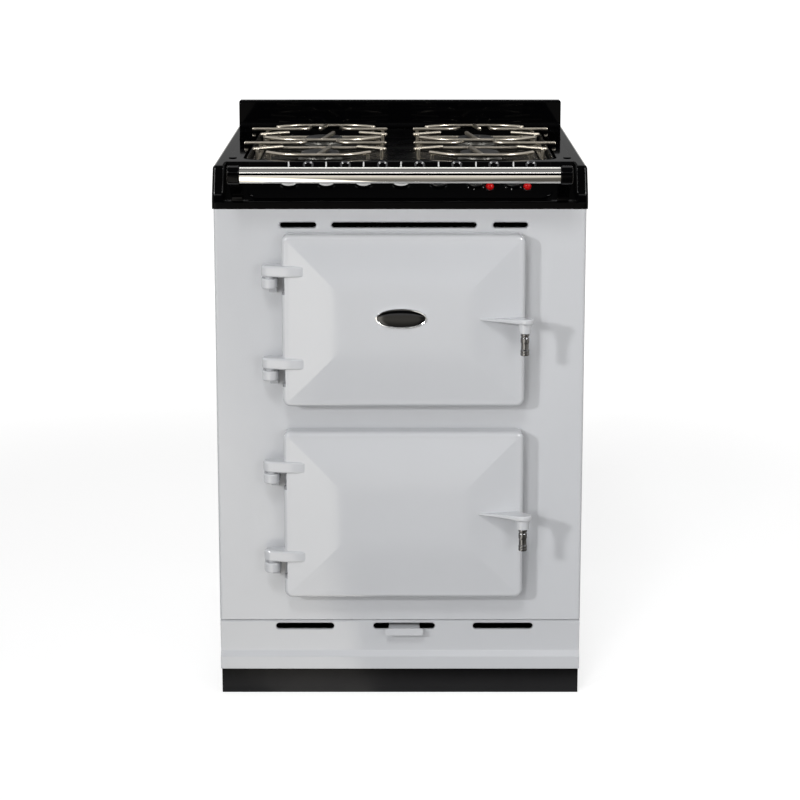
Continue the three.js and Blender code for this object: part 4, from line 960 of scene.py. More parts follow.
@dataclass(frozen=True)
class KickboardPaintedShade(Painted):
    """Satin paint on a low wall, with painted shade that gets darker up to the overhang above it."""

    clear: float = 0.012  # height up to which the painted shade doesn't darken it, in metres
    overhang: float = 0.047
    # share of the colour that the painted shade leaves right under the overhang
    least: float = 0.12

    def film(self, tree: Tree, colour: Socket) -> Socket:
        """Lays the dust over the colour, then the painted shade under the overhang.

        Args:
            tree: The material's node tree.
            colour: Socket with the colour of the paint.

        Returns:
            Socket with the shaded colour.
        """
        paint = super().film(tree, colour)
        fade = self.placed(
            tree, "fade", build_painted_shade, Colour=paint, Low=self.clear, High=self.overhang, Least=self.least
        )
        return fade.outputs["Colour"]


@dataclass(frozen=True)
class Rope(Finish):
    """Braided glass rope, with painted shade in the furrows between its strands."""

    strand_scale: float = 260.0
    strand_depth: float = 0.0006
    painted_furrow_shade: float = 0.35  # share of the colour that the painted shade leaves between the strands

    def build(self, tree: Tree, shader: Node) -> None:
        """Adds the braid and paints shade into the furrows between its strands.

        Args:
            tree: The material's node tree.
            shader: The material's shader.
        """
        shader.inputs["Roughness"].default_value = 0.9
        weave = self.placed(tree, "weave", build_weave, Scale=self.strand_scale, Depth=self.strand_depth)
        # painted shade: darker colour in the furrows between the strands
        dark = tuple(self.painted_furrow_shade * c for c in self.colour)
        colour = mixed(tree, weave.outputs["Strands"], (*dark, 1), (*self.colour, 1))
        tree.links.new(colour, shader.inputs["Base Color"])
        tree.links.new(weave.outputs["Normal"], shader.inputs["Normal"])


PEARL = Enamel("pearl_enamel", "enamel", (0.565, 0.575, 0.595))
BLACK = Enamel(
    "hob_black", "black_enamel", (0.001, 0.001, 0.0012), shine=0.045, rough=(0.03, 0.06), waves=0.00003
)
BADGE = Enamel("badge_black", "chrome", (0.002, 0.002, 0.0022), rough=(0.06, 0.1), waves=0.00002)
WELL_BLACK = Enamel("well_black", "black_enamel", (0.0015, 0.0015, 0.0017), shine=0.05, rough=(0.2, 0.35))
# satin black paint, with painted shade that darkens it up to the lower panel's overhang
PLINTH = KickboardPaintedShade("plinth_satin_painted_shade", "plinth_paint", (0.0165, 0.0165, 0.0175), shine=0.1, dust=0.02)
RAIL = Metal(
    "rail_polish", "rail_steel", (0.74, 0.725, 0.69), rough=(0.06, 0.08), stretch=(8, 900, 900), lines=0.0000001
)
SHELF_WIRE = Metal("shelf_wire", "shelf_steel", (0.62, 0.62, 0.6), rough=(0.18, 0.3), stretch=(600, 30, 600))
BAR = Metal(
    "bar_satin", "bar_steel", (0.33, 0.3, 0.25), rough=(0.3, 0.36), stretch=(90, 90, 90), lines=0.0000003
)
CAP = Painted("cap_enamel", "dark_iron", (0.008, 0.008, 0.009), shine=0.25, rough=(0.35, 0.5), dust=0.02)
IRON = Painted("element_iron", "dark_iron", (0.03, 0.028, 0.027), shine=0.3, dust=0.02)
CHROME = Metal("rim_chrome", "chrome", (0.74, 0.75, 0.76), rough=(0.05, 0.1), stretch=(300, 300, 300))
GRIP = Metal("grip_dark", "chrome", (0.14, 0.14, 0.145), stretch=(60, 60, 2400), lines=0.00001)
STUD = Moulded("stud_dark", "black_enamel", (0.03, 0.03, 0.032), shine=0.3, rough=(0.24, 0.3))
KNOB = Moulded("knob_gloss", "knob_plastic", (0.006, 0.006, 0.007), shine=0.4, rough=(0.1, 0.2))
LENS = Moulded("lens_red", "lamp_lens", (0.66, 0.003, 0.004), shine=0.15, rough=(0.08, 0.14))
ZINC = Metal("zinc_sheet", "galvanised", (0.4, 0.41, 0.42), rough=(0.4, 0.6), stretch=(60, 60, 60), drift=0.4)
OVEN = Painted("oven_speckle", "oven_enamel", (0.014, 0.015, 0.017), shine=0.4, rough=(0.2, 0.35), dust=0.02)
ROPE = Rope("rope_braid", "seal_rope", (0.07, 0.066, 0.06))
BRASS = Metal("tap_brass", "brass", (0.5, 0.37, 0.16), rough=(0.25, 0.4), stretch=(800, 800, 800))
ALLOY = Metal("fan_alloy", "aluminium", (0.5, 0.5, 0.49), rough=(0.35, 0.5), stretch=(400, 400, 400))
CROWN = Metal("burner_alloy", "aluminium", (0.1, 0.098, 0.09), rough=(0.35, 0.5), stretch=(400, 400, 400))
SWITCH = Moulded("switch_plastic", "control_plastic", (0.02, 0.02, 0.022), rough=(0.4, 0.55))
PIPE = Metal("pipe_satin", "gas_steel", (0.4, 0.39, 0.38), rough=(0.35, 0.5), stretch=(30, 800, 800))
PRINT = Moulded("white_print", "black_enamel", (0.7, 0.7, 0.69), rough=(0.3, 0.4))
CERAMIC = Moulded("igniter_ceramic", "aluminium", (0.72, 0.69, 0.6), rough=(0.25, 0.4))


# ---- the case


def slot_cutter(span: Flat, z: float, height: float, rim: float, face: float, back: float) -> Form:
    """Volume of a round-ended slot whose edge on the face is rounded over.

    Args:
        span: Left and right end.
        z: Height of its middle.
        height: Height of the slot.
        rim: Radius of the rounded edge.
        face: Where the face lies along Y.
        back: Where the cutter ends along Y.

    Returns:
        The volume, as a form.
    """
    half = height / 2
    rounding = [face + rim * (1 - math.cos(math.radians(angle))) for angle in range(0, 91, 15)]
    rings = []
    for y in (face - 1, *rounding, back):
        into = min(max(y - face, 0.0), rim)
        out = rim - math.sqrt(max(rim * rim - (rim - into) ** 2, 0.0))
        ring = rounded(span[0] - out, span[1] + out, z - half - out, z + half + out, half + out)
        rings.append([(x, y, up) for x, up in ring])
    return Form().loft(rings)


@dataclass
class Case:
    """Plinth, panels, front plate and the pull-out plate."""

    half_width: float = 300.0
    inset: float = 1.0
    depth: float = 605.0
    plinth_height: float = 46.0
    plinth_setback: float = 13.0
    plinth_wall: float = 3.0
    plate_base: float = 133.0
    plate_top: float = 823.0
    plate_thick: float = 12.0
    plate_edge: float = 5.0
    door_shift: float = 5.7
    mouth: Flat = (351.0, 241.0)
    mouth_radius: float = 14.0
    mouth_heights: Flat = (322.5, 645.5)
    vents: tuple[Flat, ...] = ((-193.3, -135.0), (-110.0, 123.3), (150.0, 205.8))
    vent_z: float = 796.5
    vent_height: float = 9.0
    vent_rim: float = 4.4
    slot_rim: float = 3.2
    lower_slots: tuple[Flat, ...] = ((-206.7, -110.0), (-44.2, 58.3), (121.7, 221.7))
    lower_slot_height: float = 10.8
    lower_slot_drop: float = 12.0
    lower_top: float = 131.0
    lip_height: float = 22.0
    dish: float = 8.0
    dish_depth: float = 0.42  # how far the hollow face leans forward at its top, as a share of the dish
    dish_bend: float = 1.4
    foot_half: float = 282.0
    wall: float = 3.5
    slide_half: float = 26.0
    slide_front: float = -7.0
    slide_back: float = 82.0
    slide_sheet: float = 1.2
    slide_fold: float = 5.1
    slide_lip: Flat = (31.5, 12.0)  # half the width and the height of the folded lip
    side_fold: float = 16.0
    side_sheet: float = 2.0

    def build(self) -> None:
        """Makes every piece of the case."""
        self.front_plate()
        self.lower_panel()
        self.pull_out_plate()
        self.plinth()
        self.side_panels()
        dress(ZINC, "back_panel")

    def front_plate(self) -> None:
        """Front plate with rounded sides, two oven mouths and three vents."""
        half, r, thick = self.half_width, self.plate_edge, self.plate_thick
        plan = [
            *arc(-half + r, r, r, 180, 270, 8),
            *arc(half - r, r, r, 270, 360, 8),
            (half, thick),
            (-half, thick),
        ]
        plate = Form().prism(plan, Axis.Z, self.plate_base, self.plate_top, 0.5)
        x, r = self.door_shift, self.mouth_radius
        half_x, half_z = (side / 2 for side in self.mouth)
        mouths = [
            Form().prism(rounded(x - half_x, x + half_x, z - half_z, z + half_z, r), Axis.Y, -1, thick + 1)
            for z in self.mouth_heights
        ]
        vents = [
            slot_cutter(vent, self.vent_z, self.vent_height, self.vent_rim, 0, thick + 1) for vent in self.vents
        ]
        plate.cut(*mouths, *vents).piece("front_plate_enamel", PEARL, replaces=["front_plate"])

    def lower_panel(self) -> None:
        """Lower front panel: a lip, a chamfer and a hollow face with three slots."""
        base, top = self.plinth_height, self.lower_top
        lip = base + self.lip_height
        rise = top - lip - self.dish
        steps = 16
        face = [
            (
                self.dish * (1 - self.dish_depth * (i / steps) ** self.dish_bend),
                lip + self.dish + (rise - 4) * i / steps,
            )
            for i in range(steps + 1)
        ]
        face += [(self.dish * share, top - down) for share, down in ((0.6, 2.6), (0.68, 1.2), (0.85, 0))]
        back = self.dish + self.wall
        outline = [(0.0, base), (back, base), (back, top), *face[::-1], (0.0, lip)]
        panel = Form().prism(outline, Axis.X, -self.half_width, self.half_width, 1.2)
        z = top - self.lower_slot_drop
        slots = [
            slot_cutter(slot, z, self.lower_slot_height, self.slot_rim, self.dish * 0.6, back + 1)
            for slot in self.lower_slots
        ]
        foot = Form().block(
            (-self.foot_half, back - 1, base),
            (self.foot_half, self.plinth_setback + 7, base + self.wall),
            0.5,
        )
        panel.cut(*slots).add(foot).piece("lower_panel_enamel", PEARL, replaces=["lower_panel"])

    def pull_out_plate(self) -> None:
        """Pull-out plate: a channel with a folded lip."""
        left, right = self.lower_slots[1]
        x = (left + right) / 2
        top = self.lower_top - self.lower_slot_drop
        half, back, sheet, soft = self.slide_half, self.slide_back, self.slide_sheet, 0.4
        plate = Form().block((x - half, self.slide_front, top - sheet), (x + half, back, top), soft)
        for side in (-1, 1):
            edge = x + side * half
            low, high = sorted((edge, edge - side * sheet))
            plate.block((low, 0, top - self.slide_fold), (high, back, top), soft)
        lip_half, lip_height = self.slide_lip
        lip = rounded(x - lip_half, x + lip_half, top - lip_height, top, 2.5, 5)
        plate.prism(lip, Axis.Y, -8, -6.8, 0.45)
        plate.piece("pull_out_lip", PEARL, "pull_out_plate", ["pull_out_plate"])

    def plinth(self) -> None:
        """Plinth: four walls under the base."""
        half = self.half_width - self.inset
        front, back, top = self.plinth_setback, self.depth, self.plinth_height
        box = Form().block((-half, front, 0), (half, back, top), 0.8)
        wall = self.plinth_wall
        hollow = Form().block((-half + wall, front + wall, -1), (half - wall, back - wall, top - wall))
        box.cut(hollow).piece("plinth_box", PLINTH, replaces=["plinth"])

    def side_panels(self) -> None:
        """The two folded side panels."""
        out, fold, sheet = self.half_width - self.inset, self.side_fold, self.side_sheet
        front, back = self.plate_thick, self.depth - 2
        plan = [
            (out, front),
            (out, back),
            (out - fold, back),
            (out - fold, back - sheet),
            (out - sheet, back - sheet),
            (out - sheet, front + sheet),
            (out - fold, front + sheet),
            (out - fold, front),
        ]
        for side, name in ((-1, "left"), (1, "right")):
            mirrored = [(side * x, y) for x, y in plan]
            panel = Form().prism(mirrored, Axis.Z, self.plinth_height, self.plate_top, 0.7)
            panel.piece(f"side_sheet_{name}", PEARL, replaces=[f"side_panel_{name}"])


# ---- doors


class Level(Enum):
    """Which of the two ovens a piece belongs to."""

    LOWER = "lower"
    UPPER = "upper"


@dataclass
class OvenDoor:
    """One door with its arms, handle, inner plate and seal, and the brackets that carry it."""

    level: Level
    height: float  # of its centre
    shift: float = 5.7
    size: Flat = (391.0, 281.0)
    gap: float = 5.0
    rim: float = -37.0
    rim_round: Flat = (7.0, 9.0)  # how far the rounded rim reaches inwards and back
    rise: float = 9.4
    corner: float = 13.0
    band: float = 9.0
    facet: float = 83.0
    facet_profile: tuple[Flat, ...] = (
        (0.0, 0.0), (0.03, 0.018), (0.06, 0.05), (0.12, 0.115), (0.25, 0.265), (0.45, 0.5), (0.65, 0.72),
        (0.8, 0.865), (0.9, 0.935), (1.0, 0.983), (1.08, 0.997), (1.15, 1.0),
    )  # shares of the facet's width and rise
    pocket_inset: float = 40.0
    pocket_depth: float = 12.0
    pin: Flat = (-209.8, -24.0)
    arm_lifts: Flat = (82.0, -69.0)
    arm_height: float = 18.4
    arm_profile: tuple[Flat, ...] = ((47.0, 0.3), (53.0, 1.2), (58.0, 2.8), (62.0, 5.2))
    boss: float = 13.0
    bore: Flat = (4.3, 12.6)  # radius and depth of the hole for the pin
    bracket_height: float = 16.2
    bracket_gap: float = 3.2
    bracket_drop: float = 29.1
    bracket_space: float = 28.0
    reach: float = 92.0
    fin_lift: float = 1.5
    fin_thick: float = 7.5
    fin_slope: float = 0.1
    fin_over: float = 12.0
    fin_length: float = 86.0
    fin_end: float = 14.5
    lug_profile: tuple[Flat, ...] = (
        (0, 0), (8.3, 0), (9.2, 0.6), (9.6, 1.6), (10.6, 14), (10.9, 17), (0, 17),
    )
    grip_profile: tuple[Flat, ...] = (
        (0, -36), (5.4, -36), (6.6, -35.6), (7, -34.8), (7, -31.6), (6.7, -31.1), (6.7, -30.5), (7, -30),
        (7, -27.2), (6.5, -26.4), (6.2, -25), (6.2, -16.5), (6.5, -15.2), (7, -14.4), (7, -7.6), (6.6, -7),
        (6.1, -6.4), (6.1, -4.4), (6.8, -3.8), (7, -3.2), (7, -0.4), (6.6, 0), (0, 0),
    )
    pin_profile: tuple[Flat, ...] = (
        (0, -1), (7, -1), (7, 2.5), (6.6, 2.9), (4, 2.9), (4, 15), (3.4, 15.2), (0, 15.2),
    )
    seal_inset: float = 10.0
    seal_corner: float = 24.0
    seal_half: Flat = (4.3, 1.9)
    badge_place: Flat = (-3.7, 7.6)  # from the door's centre
    badge_half: Flat = (41.5, 16.5)
    badge_rim: tuple[Point, ...] = (
        (0.985, 0.965, 0), (1, 1, -0.8), (0.997, 0.99, -1.7), (0.985, 0.965, -2.4),
        (0.965, 0.92, -2.6), (0.945, 0.87, -2.2), (0.932, 0.84, -1.4), (0.93, 0.83, 0),
    )  # shares of both half sizes, and how far it stands out
    badge_dome: tuple[Point, ...] = (
        (0.94, 0.85, 0), (0.93, 0.84, -1.0), (0.86, 0.78, -1.6), (0.7, 0.64, -2.2),
        (0.5, 0.46, -2.6), (0.3, 0.28, -2.8), (0.14, 0.13, -2.9), (0.02, 0.02, -2.95),
    )

    @property
    def body(self) -> str:
        """Name of the body that swings."""
        return f"{self.level.value}_door"

    @property
    def front(self) -> float:
        """Where the flat middle of the face lies along Y."""
        return self.rim - self.rise

    @property
    def edge(self) -> float:
        """The door's right edge."""
        return self.shift + self.size[0] / 2

    @property
    def grip_place(self) -> Point:
        """Top of the grip's axis."""
        y = -self.reach + self.fin_end
        z = self.height + self.fin_lift + self.fin_slope * (self.front - y) - 15
        return (self.edge + self.fin_over - self.fin_end, y, z)

    def build(self) -> None:
        """Makes every piece of the door."""
        casting = self.shell()
        casting.add(self.arms(), self.handle())
        casting.piece(f"{self.body}_casting", PEARL, self.body, [self.body])
        self.grip()
        self.seal()
        dress(OVEN, f"{self.body}_liner")
        for lift, end in zip(self.arm_lifts, ("top", "bottom")):
            self.bracket(lift, end)
        if self.level is Level.UPPER:
            self.badge()

    def outline(self, inset: float, corner: float, steps: int = 8) -> list[Flat]:
        """Outline of the door, drawn in by an amount.

        Args:
            inset: How far it is drawn in.
            corner: Radius of its corners.
            steps: Chords in each corner.

        Returns:
            The outline's points along X and Z.
        """
        half_x, half_z = (side / 2 - inset for side in self.size)
        x, z = self.shift, self.height
        return rounded(x - half_x, x + half_x, z - half_z, z + half_z, corner, steps)

    def shell(self) -> Form:
        """Shallow casting: rounded rim, edge band and four facets that rise to a flat middle.

        Returns:
            The casting, as a form.
        """
        rows: list[Flat] = [(0.8, -self.gap), (0.0, -self.gap - 0.8)]
        inwards, back = self.rim_round
        turns = [math.radians(angle) for angle in range(0, 91, 10)]
        rows += [(inwards * (1 - math.cos(a)), self.rim + back - back * math.sin(a)) for a in turns]
        rows += [(self.band + self.facet * w, self.rim - self.rise * up) for w, up in self.facet_profile]
        rings = [
            [(x, y, z) for x, z in self.outline(inset, max(self.corner - inset, 2.5))] for inset, y in rows
        ]
        r, drop = self.bracket_space, self.bracket_drop
        scoops = [
            Form().turned(
                [(0, 0), (r, 0), (r, drop), (0, drop)],
                (*self.pin, self.height + lift - self.arm_height / 2 - drop),
            )
            for lift in self.arm_lifts
        ]
        pocket = Form().prism(self.outline(self.pocket_inset, 14), Axis.Y, -self.gap - self.pocket_depth, 0)
        return Form().loft(rings).cut(*scoops, pocket)

    def arms(self) -> Form:
        """The two hinge arms, bored for their pins.

        Returns:
            Both arms, as a form.
        """
        x, y = self.pin
        left = self.shift - self.size[0] / 2
        front = self.front + 4.5
        outline = [
            *arc(x, y, self.boss, 90, 262, 18),
            (left - 2, front + 0.6),
            (left + 14, front),
            *((x + out, front + back) for out, back in self.arm_profile),
            (x + self.arm_profile[-1][0], y),
            (left + 6, y + self.boss),
        ]
        r, deep = self.bore
        both = Form()
        for lift in self.arm_lifts:
            low = self.height + lift - self.arm_height / 2
            arm = Form().prism(outline, Axis.Z, low, self.height + lift + self.arm_height / 2, 3.6)
            both.add(arm.cut(Form().turned([(0, -1), (r, -1), (r, deep), (0, deep)], (x, y, low), 24)))
        return both

    def handle(self) -> Form:
        """The fin that rises forwards from the face, with the lug under its end.

        Returns:
            The fin and its lug, as a form.
        """
        end, tip = self.edge + self.fin_over, -self.reach
        root = end - self.fin_length
        round_end = self.fin_end
        outline = [
            (root, self.front + 1.5),
            (root + 20, self.front - 11),
            (root + 40, tip + 24),
            (end - round_end - 8, tip + 2.2),
            *arc(end - round_end, tip + round_end, round_end, -90, 20, 12),
            (self.edge + 4, tip + 2 * round_end + 6),
            (self.edge - 10, self.front + 12),
            (root + 6, self.front + 6),
        ]
        fin = Form().prism(outline, Axis.Z, self.fin_lift, self.fin_lift + self.fin_thick, 2.4)
        middle = self.fin_lift + self.fin_thick / 2

        def thinned(p: Vector) -> Point:
            """Makes the fin thinner towards its root."""
            along = min(max((p.x - root) / (end - root), 0), 1)
            return (p.x, p.y, middle + (p.z - middle) * (0.3 + 1.05 * along))

        lean = Matrix.Identity(4)
        lean[2][1] = -self.fin_slope
        lean[2][3] = self.fin_slope * self.front + self.height
        lug = Form().turned(self.lug_profile, self.grip_place)
        return fin.shaped(thinned).moved(lean).add(lug)

    def grip(self) -> None:
        """Turned grip with shallow waists."""
        grip = Form().turned(self.grip_profile, self.grip_place)
        grip.piece(f"{self.body}_grip_turned", GRIP, self.body, [f"{self.body}_grip"])

    def seal(self) -> None:
        """Rope seal that lies round the door's back."""
        outline = self.outline(self.seal_inset, self.seal_corner, 10)
        middle = -self.gap / 2
        rings = []
        for out, back in circle(0, 0, 1, 12):
            y = middle + self.seal_half[1] * back
            ring = []
            for x, z in outline:
                away = Vector((x - self.shift, z - self.height)).normalized() * (self.seal_half[0] * out)
                ring.append((x + away.x, y, z + away.y))
            rings.append(ring)
        Form().loft(rings, closed=True).piece(f"{self.body}_rope", ROPE, self.body, [f"{self.body}_seal"])

    def badge(self) -> None:
        """Plain oval plate: a bright rim round a black domed middle."""
        x, z = self.shift + self.badge_place[0], self.height + self.badge_place[1]
        half_x, half_z = self.badge_half
        base = self.front - 0.3

        def ovals(rows: Sequence[Point]) -> list[list[Point]]:
            """Rings of the oval.

            Args:
                rows: Shares of both half sizes and how far out, for each ring.

            Returns:
                The rings.
            """
            ring = circle(0, 0, 1, 64)
            return [
                [(x + half_x * share_x * c, base + y, z + half_z * share_z * s) for c, s in ring]
                for share_x, share_z, y in rows
            ]

        rim = Form().loft(ovals(self.badge_rim), closed=True)
        rim.piece("door_badge_rim", CHROME, self.body, ["door_badge"])
        Form().loft(ovals(self.badge_dome)).piece("door_badge_face", BADGE, self.body)

    def bracket(self, lift: float, end: str) -> None:
        """Hinge bracket: boss, collar and pin on a root that runs back to the plate, with a web below.

        Args:
            lift: Height of its arm's middle above the door's.
            end: Top or bottom, for its name.
        """
        x, y = self.pin
        r = self.boss
        top = self.height + lift - self.arm_height / 2 - self.bracket_gap
        plan = [(x - r, 0), *arc(x, y, r, 180, 360, 20), (x + r, 0)]
        bracket = Form().prism(plan, Axis.Z, top - self.bracket_height, top, 2.6)
        web = [(y - 5, top - 14.5), (0, top - 14.5), (0, top - 28.2)]
        bracket.prism(web, Axis.X, x - 1.3, x + 11.7, 0.8)
        bracket.turned(self.pin_profile, (x, y, top), 28)
        bracket.piece(f"{self.body}_bracket_{end}", PEARL, replaces=[f"{self.body}_hinge_{end}"])


# ---- ovens


@dataclass
class OvenInsides:
    """Liners, shelves, grill element and fan, which show when a door is open."""

    shift: float = 5.7
    shelf_half: float = 169.0
    shelf_front: float = 30.0
    shelf_radius: float = 3.5
    wire_radius: float = 2.0
    wire_gaps: int = 10

    def build(self) -> None:
        """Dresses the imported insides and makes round-wired shelves."""
        dress(OVEN, "lower_oven_liner", "upper_oven_liner", "fan_cover")
        dress(IRON, "grill_element")
        dress(ALLOY, "oven_fan")
        dress(ZINC, "fan_motor")
        self.shelf(Level.UPPER, 625.2, 436.0)
        self.shelf(Level.LOWER, 302.2, 404.0)

    def shelf(self, level: Level, z: float, rear: float) -> None:
        """Wire shelf: a frame of thick wire with thinner wires across it.

        Args:
            level: The oven that it is in.
            z: Height of its wires.
            rear: Where it ends along Y.
        """
        half, front = self.shelf_half, self.shelf_front
        x0, x1 = self.shift - half, self.shift + half
        wires = Form()
        left_front, right_front, left_rear, right_rear = ((x, y, z) for y in (front, rear) for x in (x0, x1))
        for ends in (
            (left_front, right_front),
            (left_rear, right_rear),
            (left_front, left_rear),
            (right_front, right_rear),
        ):
            wires.rod(ends, self.shelf_radius, 14, dome=0.9)
        for i in range(1, self.wire_gaps):
            x = x0 + i * 2 * half / self.wire_gaps
            wires.rod([(x, front, z), (x, rear, z)], self.wire_radius, 10)
        wires.piece(f"{level.value}_shelf_wires", SHELF_WIRE, replaces=[f"{level.value}_oven_shelf"])


# ---- hob


@dataclass
class Hob:
    """Black casting with the burner well, burners, pan supports and splashback."""

    half: float = 302.5
    base: float = 823.0
    rim: float = 890.0
    ledge: float = 835.0
    ledge_depth: float = 16.0
    slope_run: float = 64.0
    cheek_inside: float = 283.0
    depth: float = 605.0
    wall: float = 5.0
    outer: float = 6.0
    inner: float = 4.5
    nose: float = 8.0
    lean: float = 26.0
    well: tuple[float, float, float, float] = (-254.0, 254.0, 104.0, 560.0)
    well_radius: float = 24.0
    inlet: Point = (-245.0, 834.6, 7.4)  # place and radius of the hole for the gas pipe
    button: Flat = (276.6, 127.0)
    button_profile: tuple[Flat, ...] = ((0, -1), (6.5, -1), (6.5, 0.9), (5.9, 1.5), (0, 1.5))
    pan_floor: float = 872.0
    pan_outside: tuple[Flat, ...] = (
        (-7, 870.4), (-3.2, 871.0), (-1.4, 872.6), (-0.8, 875), (-0.8, 888.4), (5.2, 888.4), (5.2, 890.0),
    )  # how far outside the well, and height
    pan_inside: tuple[Flat, ...] = (
        (-9, 872.0), (-5, 872.6), (-3, 874.2), (-2.4, 876.5), (-2.4, 888.4), (-1.6, 891.0),
    )
    pan_hole: float = 25.0
    burner_x: float = 136.0
    burner_rows: tuple[tuple[str, float], ...] = (("front", 243.0), ("rear", 460.0))
    head_profile: tuple[Flat, ...] = (
        (0, -26), (14.4, -26), (24, -14.3), (24, 0), (37.4, 0), (38, 0.6), (38, 2.8), (37.2, 3.5), (33, 4.4),
        (31.6, 5), (31, 6), (31, 11), (0, 11),
    )
    head_height: float = 11.0
    ports: int = 24
    cap_profile: tuple[Flat, ...] = (
        (0, 0), (31.8, 0), (32.8, 0.7), (33, 1.8), (32.6, 3.2), (31.2, 4.3), (26, 5.2), (16, 5.8), (0, 6),
    )
    igniter_place: Flat = (36.5, 40.0)  # distance from the burner's middle, and angle in degrees
    igniter_profile: tuple[Flat, ...] = (
        (0, 0), (2.6, 0), (2.6, 9.5), (1.9, 10.5), (1.1, 10.6), (1.1, 13.6), (0.8, 14.2), (0, 14.2),
    )
    support: float = 111.0
    bar: float = 3.1
    frame_bar: float = 3.2
    finger: float = 3.8
    finger_lean: float = 0.15
    back_half: float = 297.5
    back_height: float = 50.0
    back_thick: float = 17.0
    back_cove: float = 10.0

    def build(self, holes: Sequence[Form]) -> None:
        """Makes every piece of the hob.

        Args:
            holes: Volumes of the holes through the control slope.
        """
        self.casting(holes)
        self.pan()
        for row, y in self.burner_rows:
            for side, x in (("left", -self.burner_x), ("right", self.burner_x)):
                self.burner(f"{row}_{side}", x, y)
        for side, sign in (("left", -1), ("right", 1)):
            self.pan_support(side, sign)
        self.splashback()

    def cheek_outline(self, inset: float, inner: bool) -> list[Flat]:
        """Side view of a cheek, drawn in where its edge is rounded.

        Args:
            inset: How far the outline is drawn in.
            inner: True on the side of the control recess, where only what stands proud of it is drawn in.

        Returns:
            Points along Y and Z, from the foot of the front round to the foot of the back.
        """
        top, r = self.rim, self.nose
        bend, lean_to = self.base + 8, (self.lean * 0.24, self.base + 28)
        # along Y, along Z, the direction in which it is drawn in, and how much of that the inner side takes
        rows = [(0.0, self.base, 1.0, 0.0, 0.0), (0.0, bend, 1.0, 0.0, 0.0)]
        steps = 6
        for i in range(1, steps + 1):
            t = i / steps
            y = t * t * lean_to[0]
            z = (1 - t) ** 2 * bend + 2 * t * (1 - t) * (bend + 9) + t * t * lean_to[1]
            rows.append((y, z, 1.0, -0.2 * t, min(max((z - self.ledge) / 5, 0), 1)))
        for y, z in arc(self.lean + r, top - r, r, 165, 90, 8)[:-1]:
            rows.append((y, z, -(y - self.lean - r) / r, -(z - top + r) / r, 1.0))
        rows += [(self.lean + r, top, 0.0, -1.0, 1.0), (68.0, top, 0.0, -1.0, 1.0), (84.0, top, 0.0, -1.0, 0.0)]
        rows += [(self.depth, top, 0.0, -1.0, 0.0), (self.depth, self.base, 0.0, 0.0, 0.0)]
        return [
            (y + ny * inset * (share if inner else 1.0), z + nz * inset * (share if inner else 1.0))
            for y, z, ny, nz, share in rows
        ]

    def recess_outline(self) -> list[Flat]:
        """Side view through the control recess, with as many points as a cheek's outline.

        Returns:
            Points along Y and Z, in the same order.
        """
        slope = math.degrees(math.atan2(self.rim - self.ledge, self.slope_run))
        edge, foot, bead = 2.2, 5.0, 4.0
        start = self.ledge_depth - foot * math.tan(math.radians(slope / 2))
        end = self.ledge_depth + self.slope_run + bead * math.tan(math.radians(slope / 2))
        rise = (self.rim - self.ledge) / self.slope_run
        return [
            (0.0, self.base),
            (0.0, self.base + 6),
            *arc(edge, self.ledge - edge, edge, 180, 90, 4),
            *arc(start, self.ledge + foot, foot, -90, -90 + slope, 3),
            *((self.ledge_depth + y, self.ledge + y * rise) for y in (14, 28, 44)),
            *arc(end, self.rim - bead, bead, 90 + slope, 90, 4),
            (self.depth, self.rim),
            (self.depth, self.base),
        ]

    def casting(self, holes: Sequence[Form]) -> None:
        """Cheeks, control recess and rim round the well.

        Args:
            holes: Volumes of the holes through the control slope.
        """
        rows: list[tuple[float, list[Flat]]] = []
        turns = [math.radians(angle) for angle in range(0, 91, 15)]
        for a in turns:
            x = self.half - self.outer * (1 - math.cos(a))
            rows.append((x, self.cheek_outline(self.outer * (1 - math.sin(a)), False)))
        for a in turns:
            x = self.cheek_inside + self.inner * (1 - math.sin(a))
            rows.append((x, self.cheek_outline(self.inner * (1 - math.cos(a)), True)))
        rows.append((self.cheek_inside, self.recess_outline()))
        left, right = ([[(side * x, y, z) for y, z in outline] for x, outline in rows] for side in (-1, 1))
        whole = Form().loft([*left, *right[::-1]])
        opening = Form().prism(
            rounded(*self.well, self.well_radius), Axis.Z, self.rim - self.wall - 1, self.rim + 2
        )
        x, z, r = self.inlet
        inlet = Form().prism(circle(x, z, r, 24), Axis.Y, self.depth - 7, self.depth + 1)
        whole.cut(self.hollow(), opening, inlet, *holes)
        x, y = self.button
        for side in (-1, 1):
            whole.turned(self.button_profile, (side * x, y, self.rim), 32)
        whole.piece("hob_casting_enamel", BLACK, replaces=["hob_casting"])

    def hollow(self) -> Form:
        """Volume of the casting's hollow underside.

        Returns:
            The volume, as a form.
        """
        under, floor = self.rim - self.wall, self.ledge - self.wall
        rise = self.rim - self.ledge
        shift = self.wall / math.sin(math.atan2(rise, self.slope_run))

        def behind(z: float) -> float:
            """Where the hollow begins behind the slope, at a height."""
            return self.ledge_depth + (z - self.ledge) * self.slope_run / rise + shift

        front, back, low = 12, self.depth - self.wall, self.base - 1
        outline = [(front, low), (front, floor), (behind(floor), floor), (behind(under), under), (back, under)]
        return Form().prism([*outline, (back, low)], Axis.X, -self.half + self.wall, self.half - self.wall)

    def pan(self) -> None:
        """Spill pan that hangs in the well by its lip."""
        x0, x1, y0, y1 = self.well

        def rings(rows: Sequence[Flat]) -> list[list[Point]]:
            """Outlines of the well made larger by an amount, at a height.

            Args:
                rows: How far outside the well, and the height, for each outline.

            Returns:
                The outlines.
            """
            return [
                [
                    (x, y, z)
                    for x, y in rounded(x0 - out, x1 + out, y0 - out, y1 + out, self.well_radius + out, 10)
                ]
                for out, z in rows
            ]

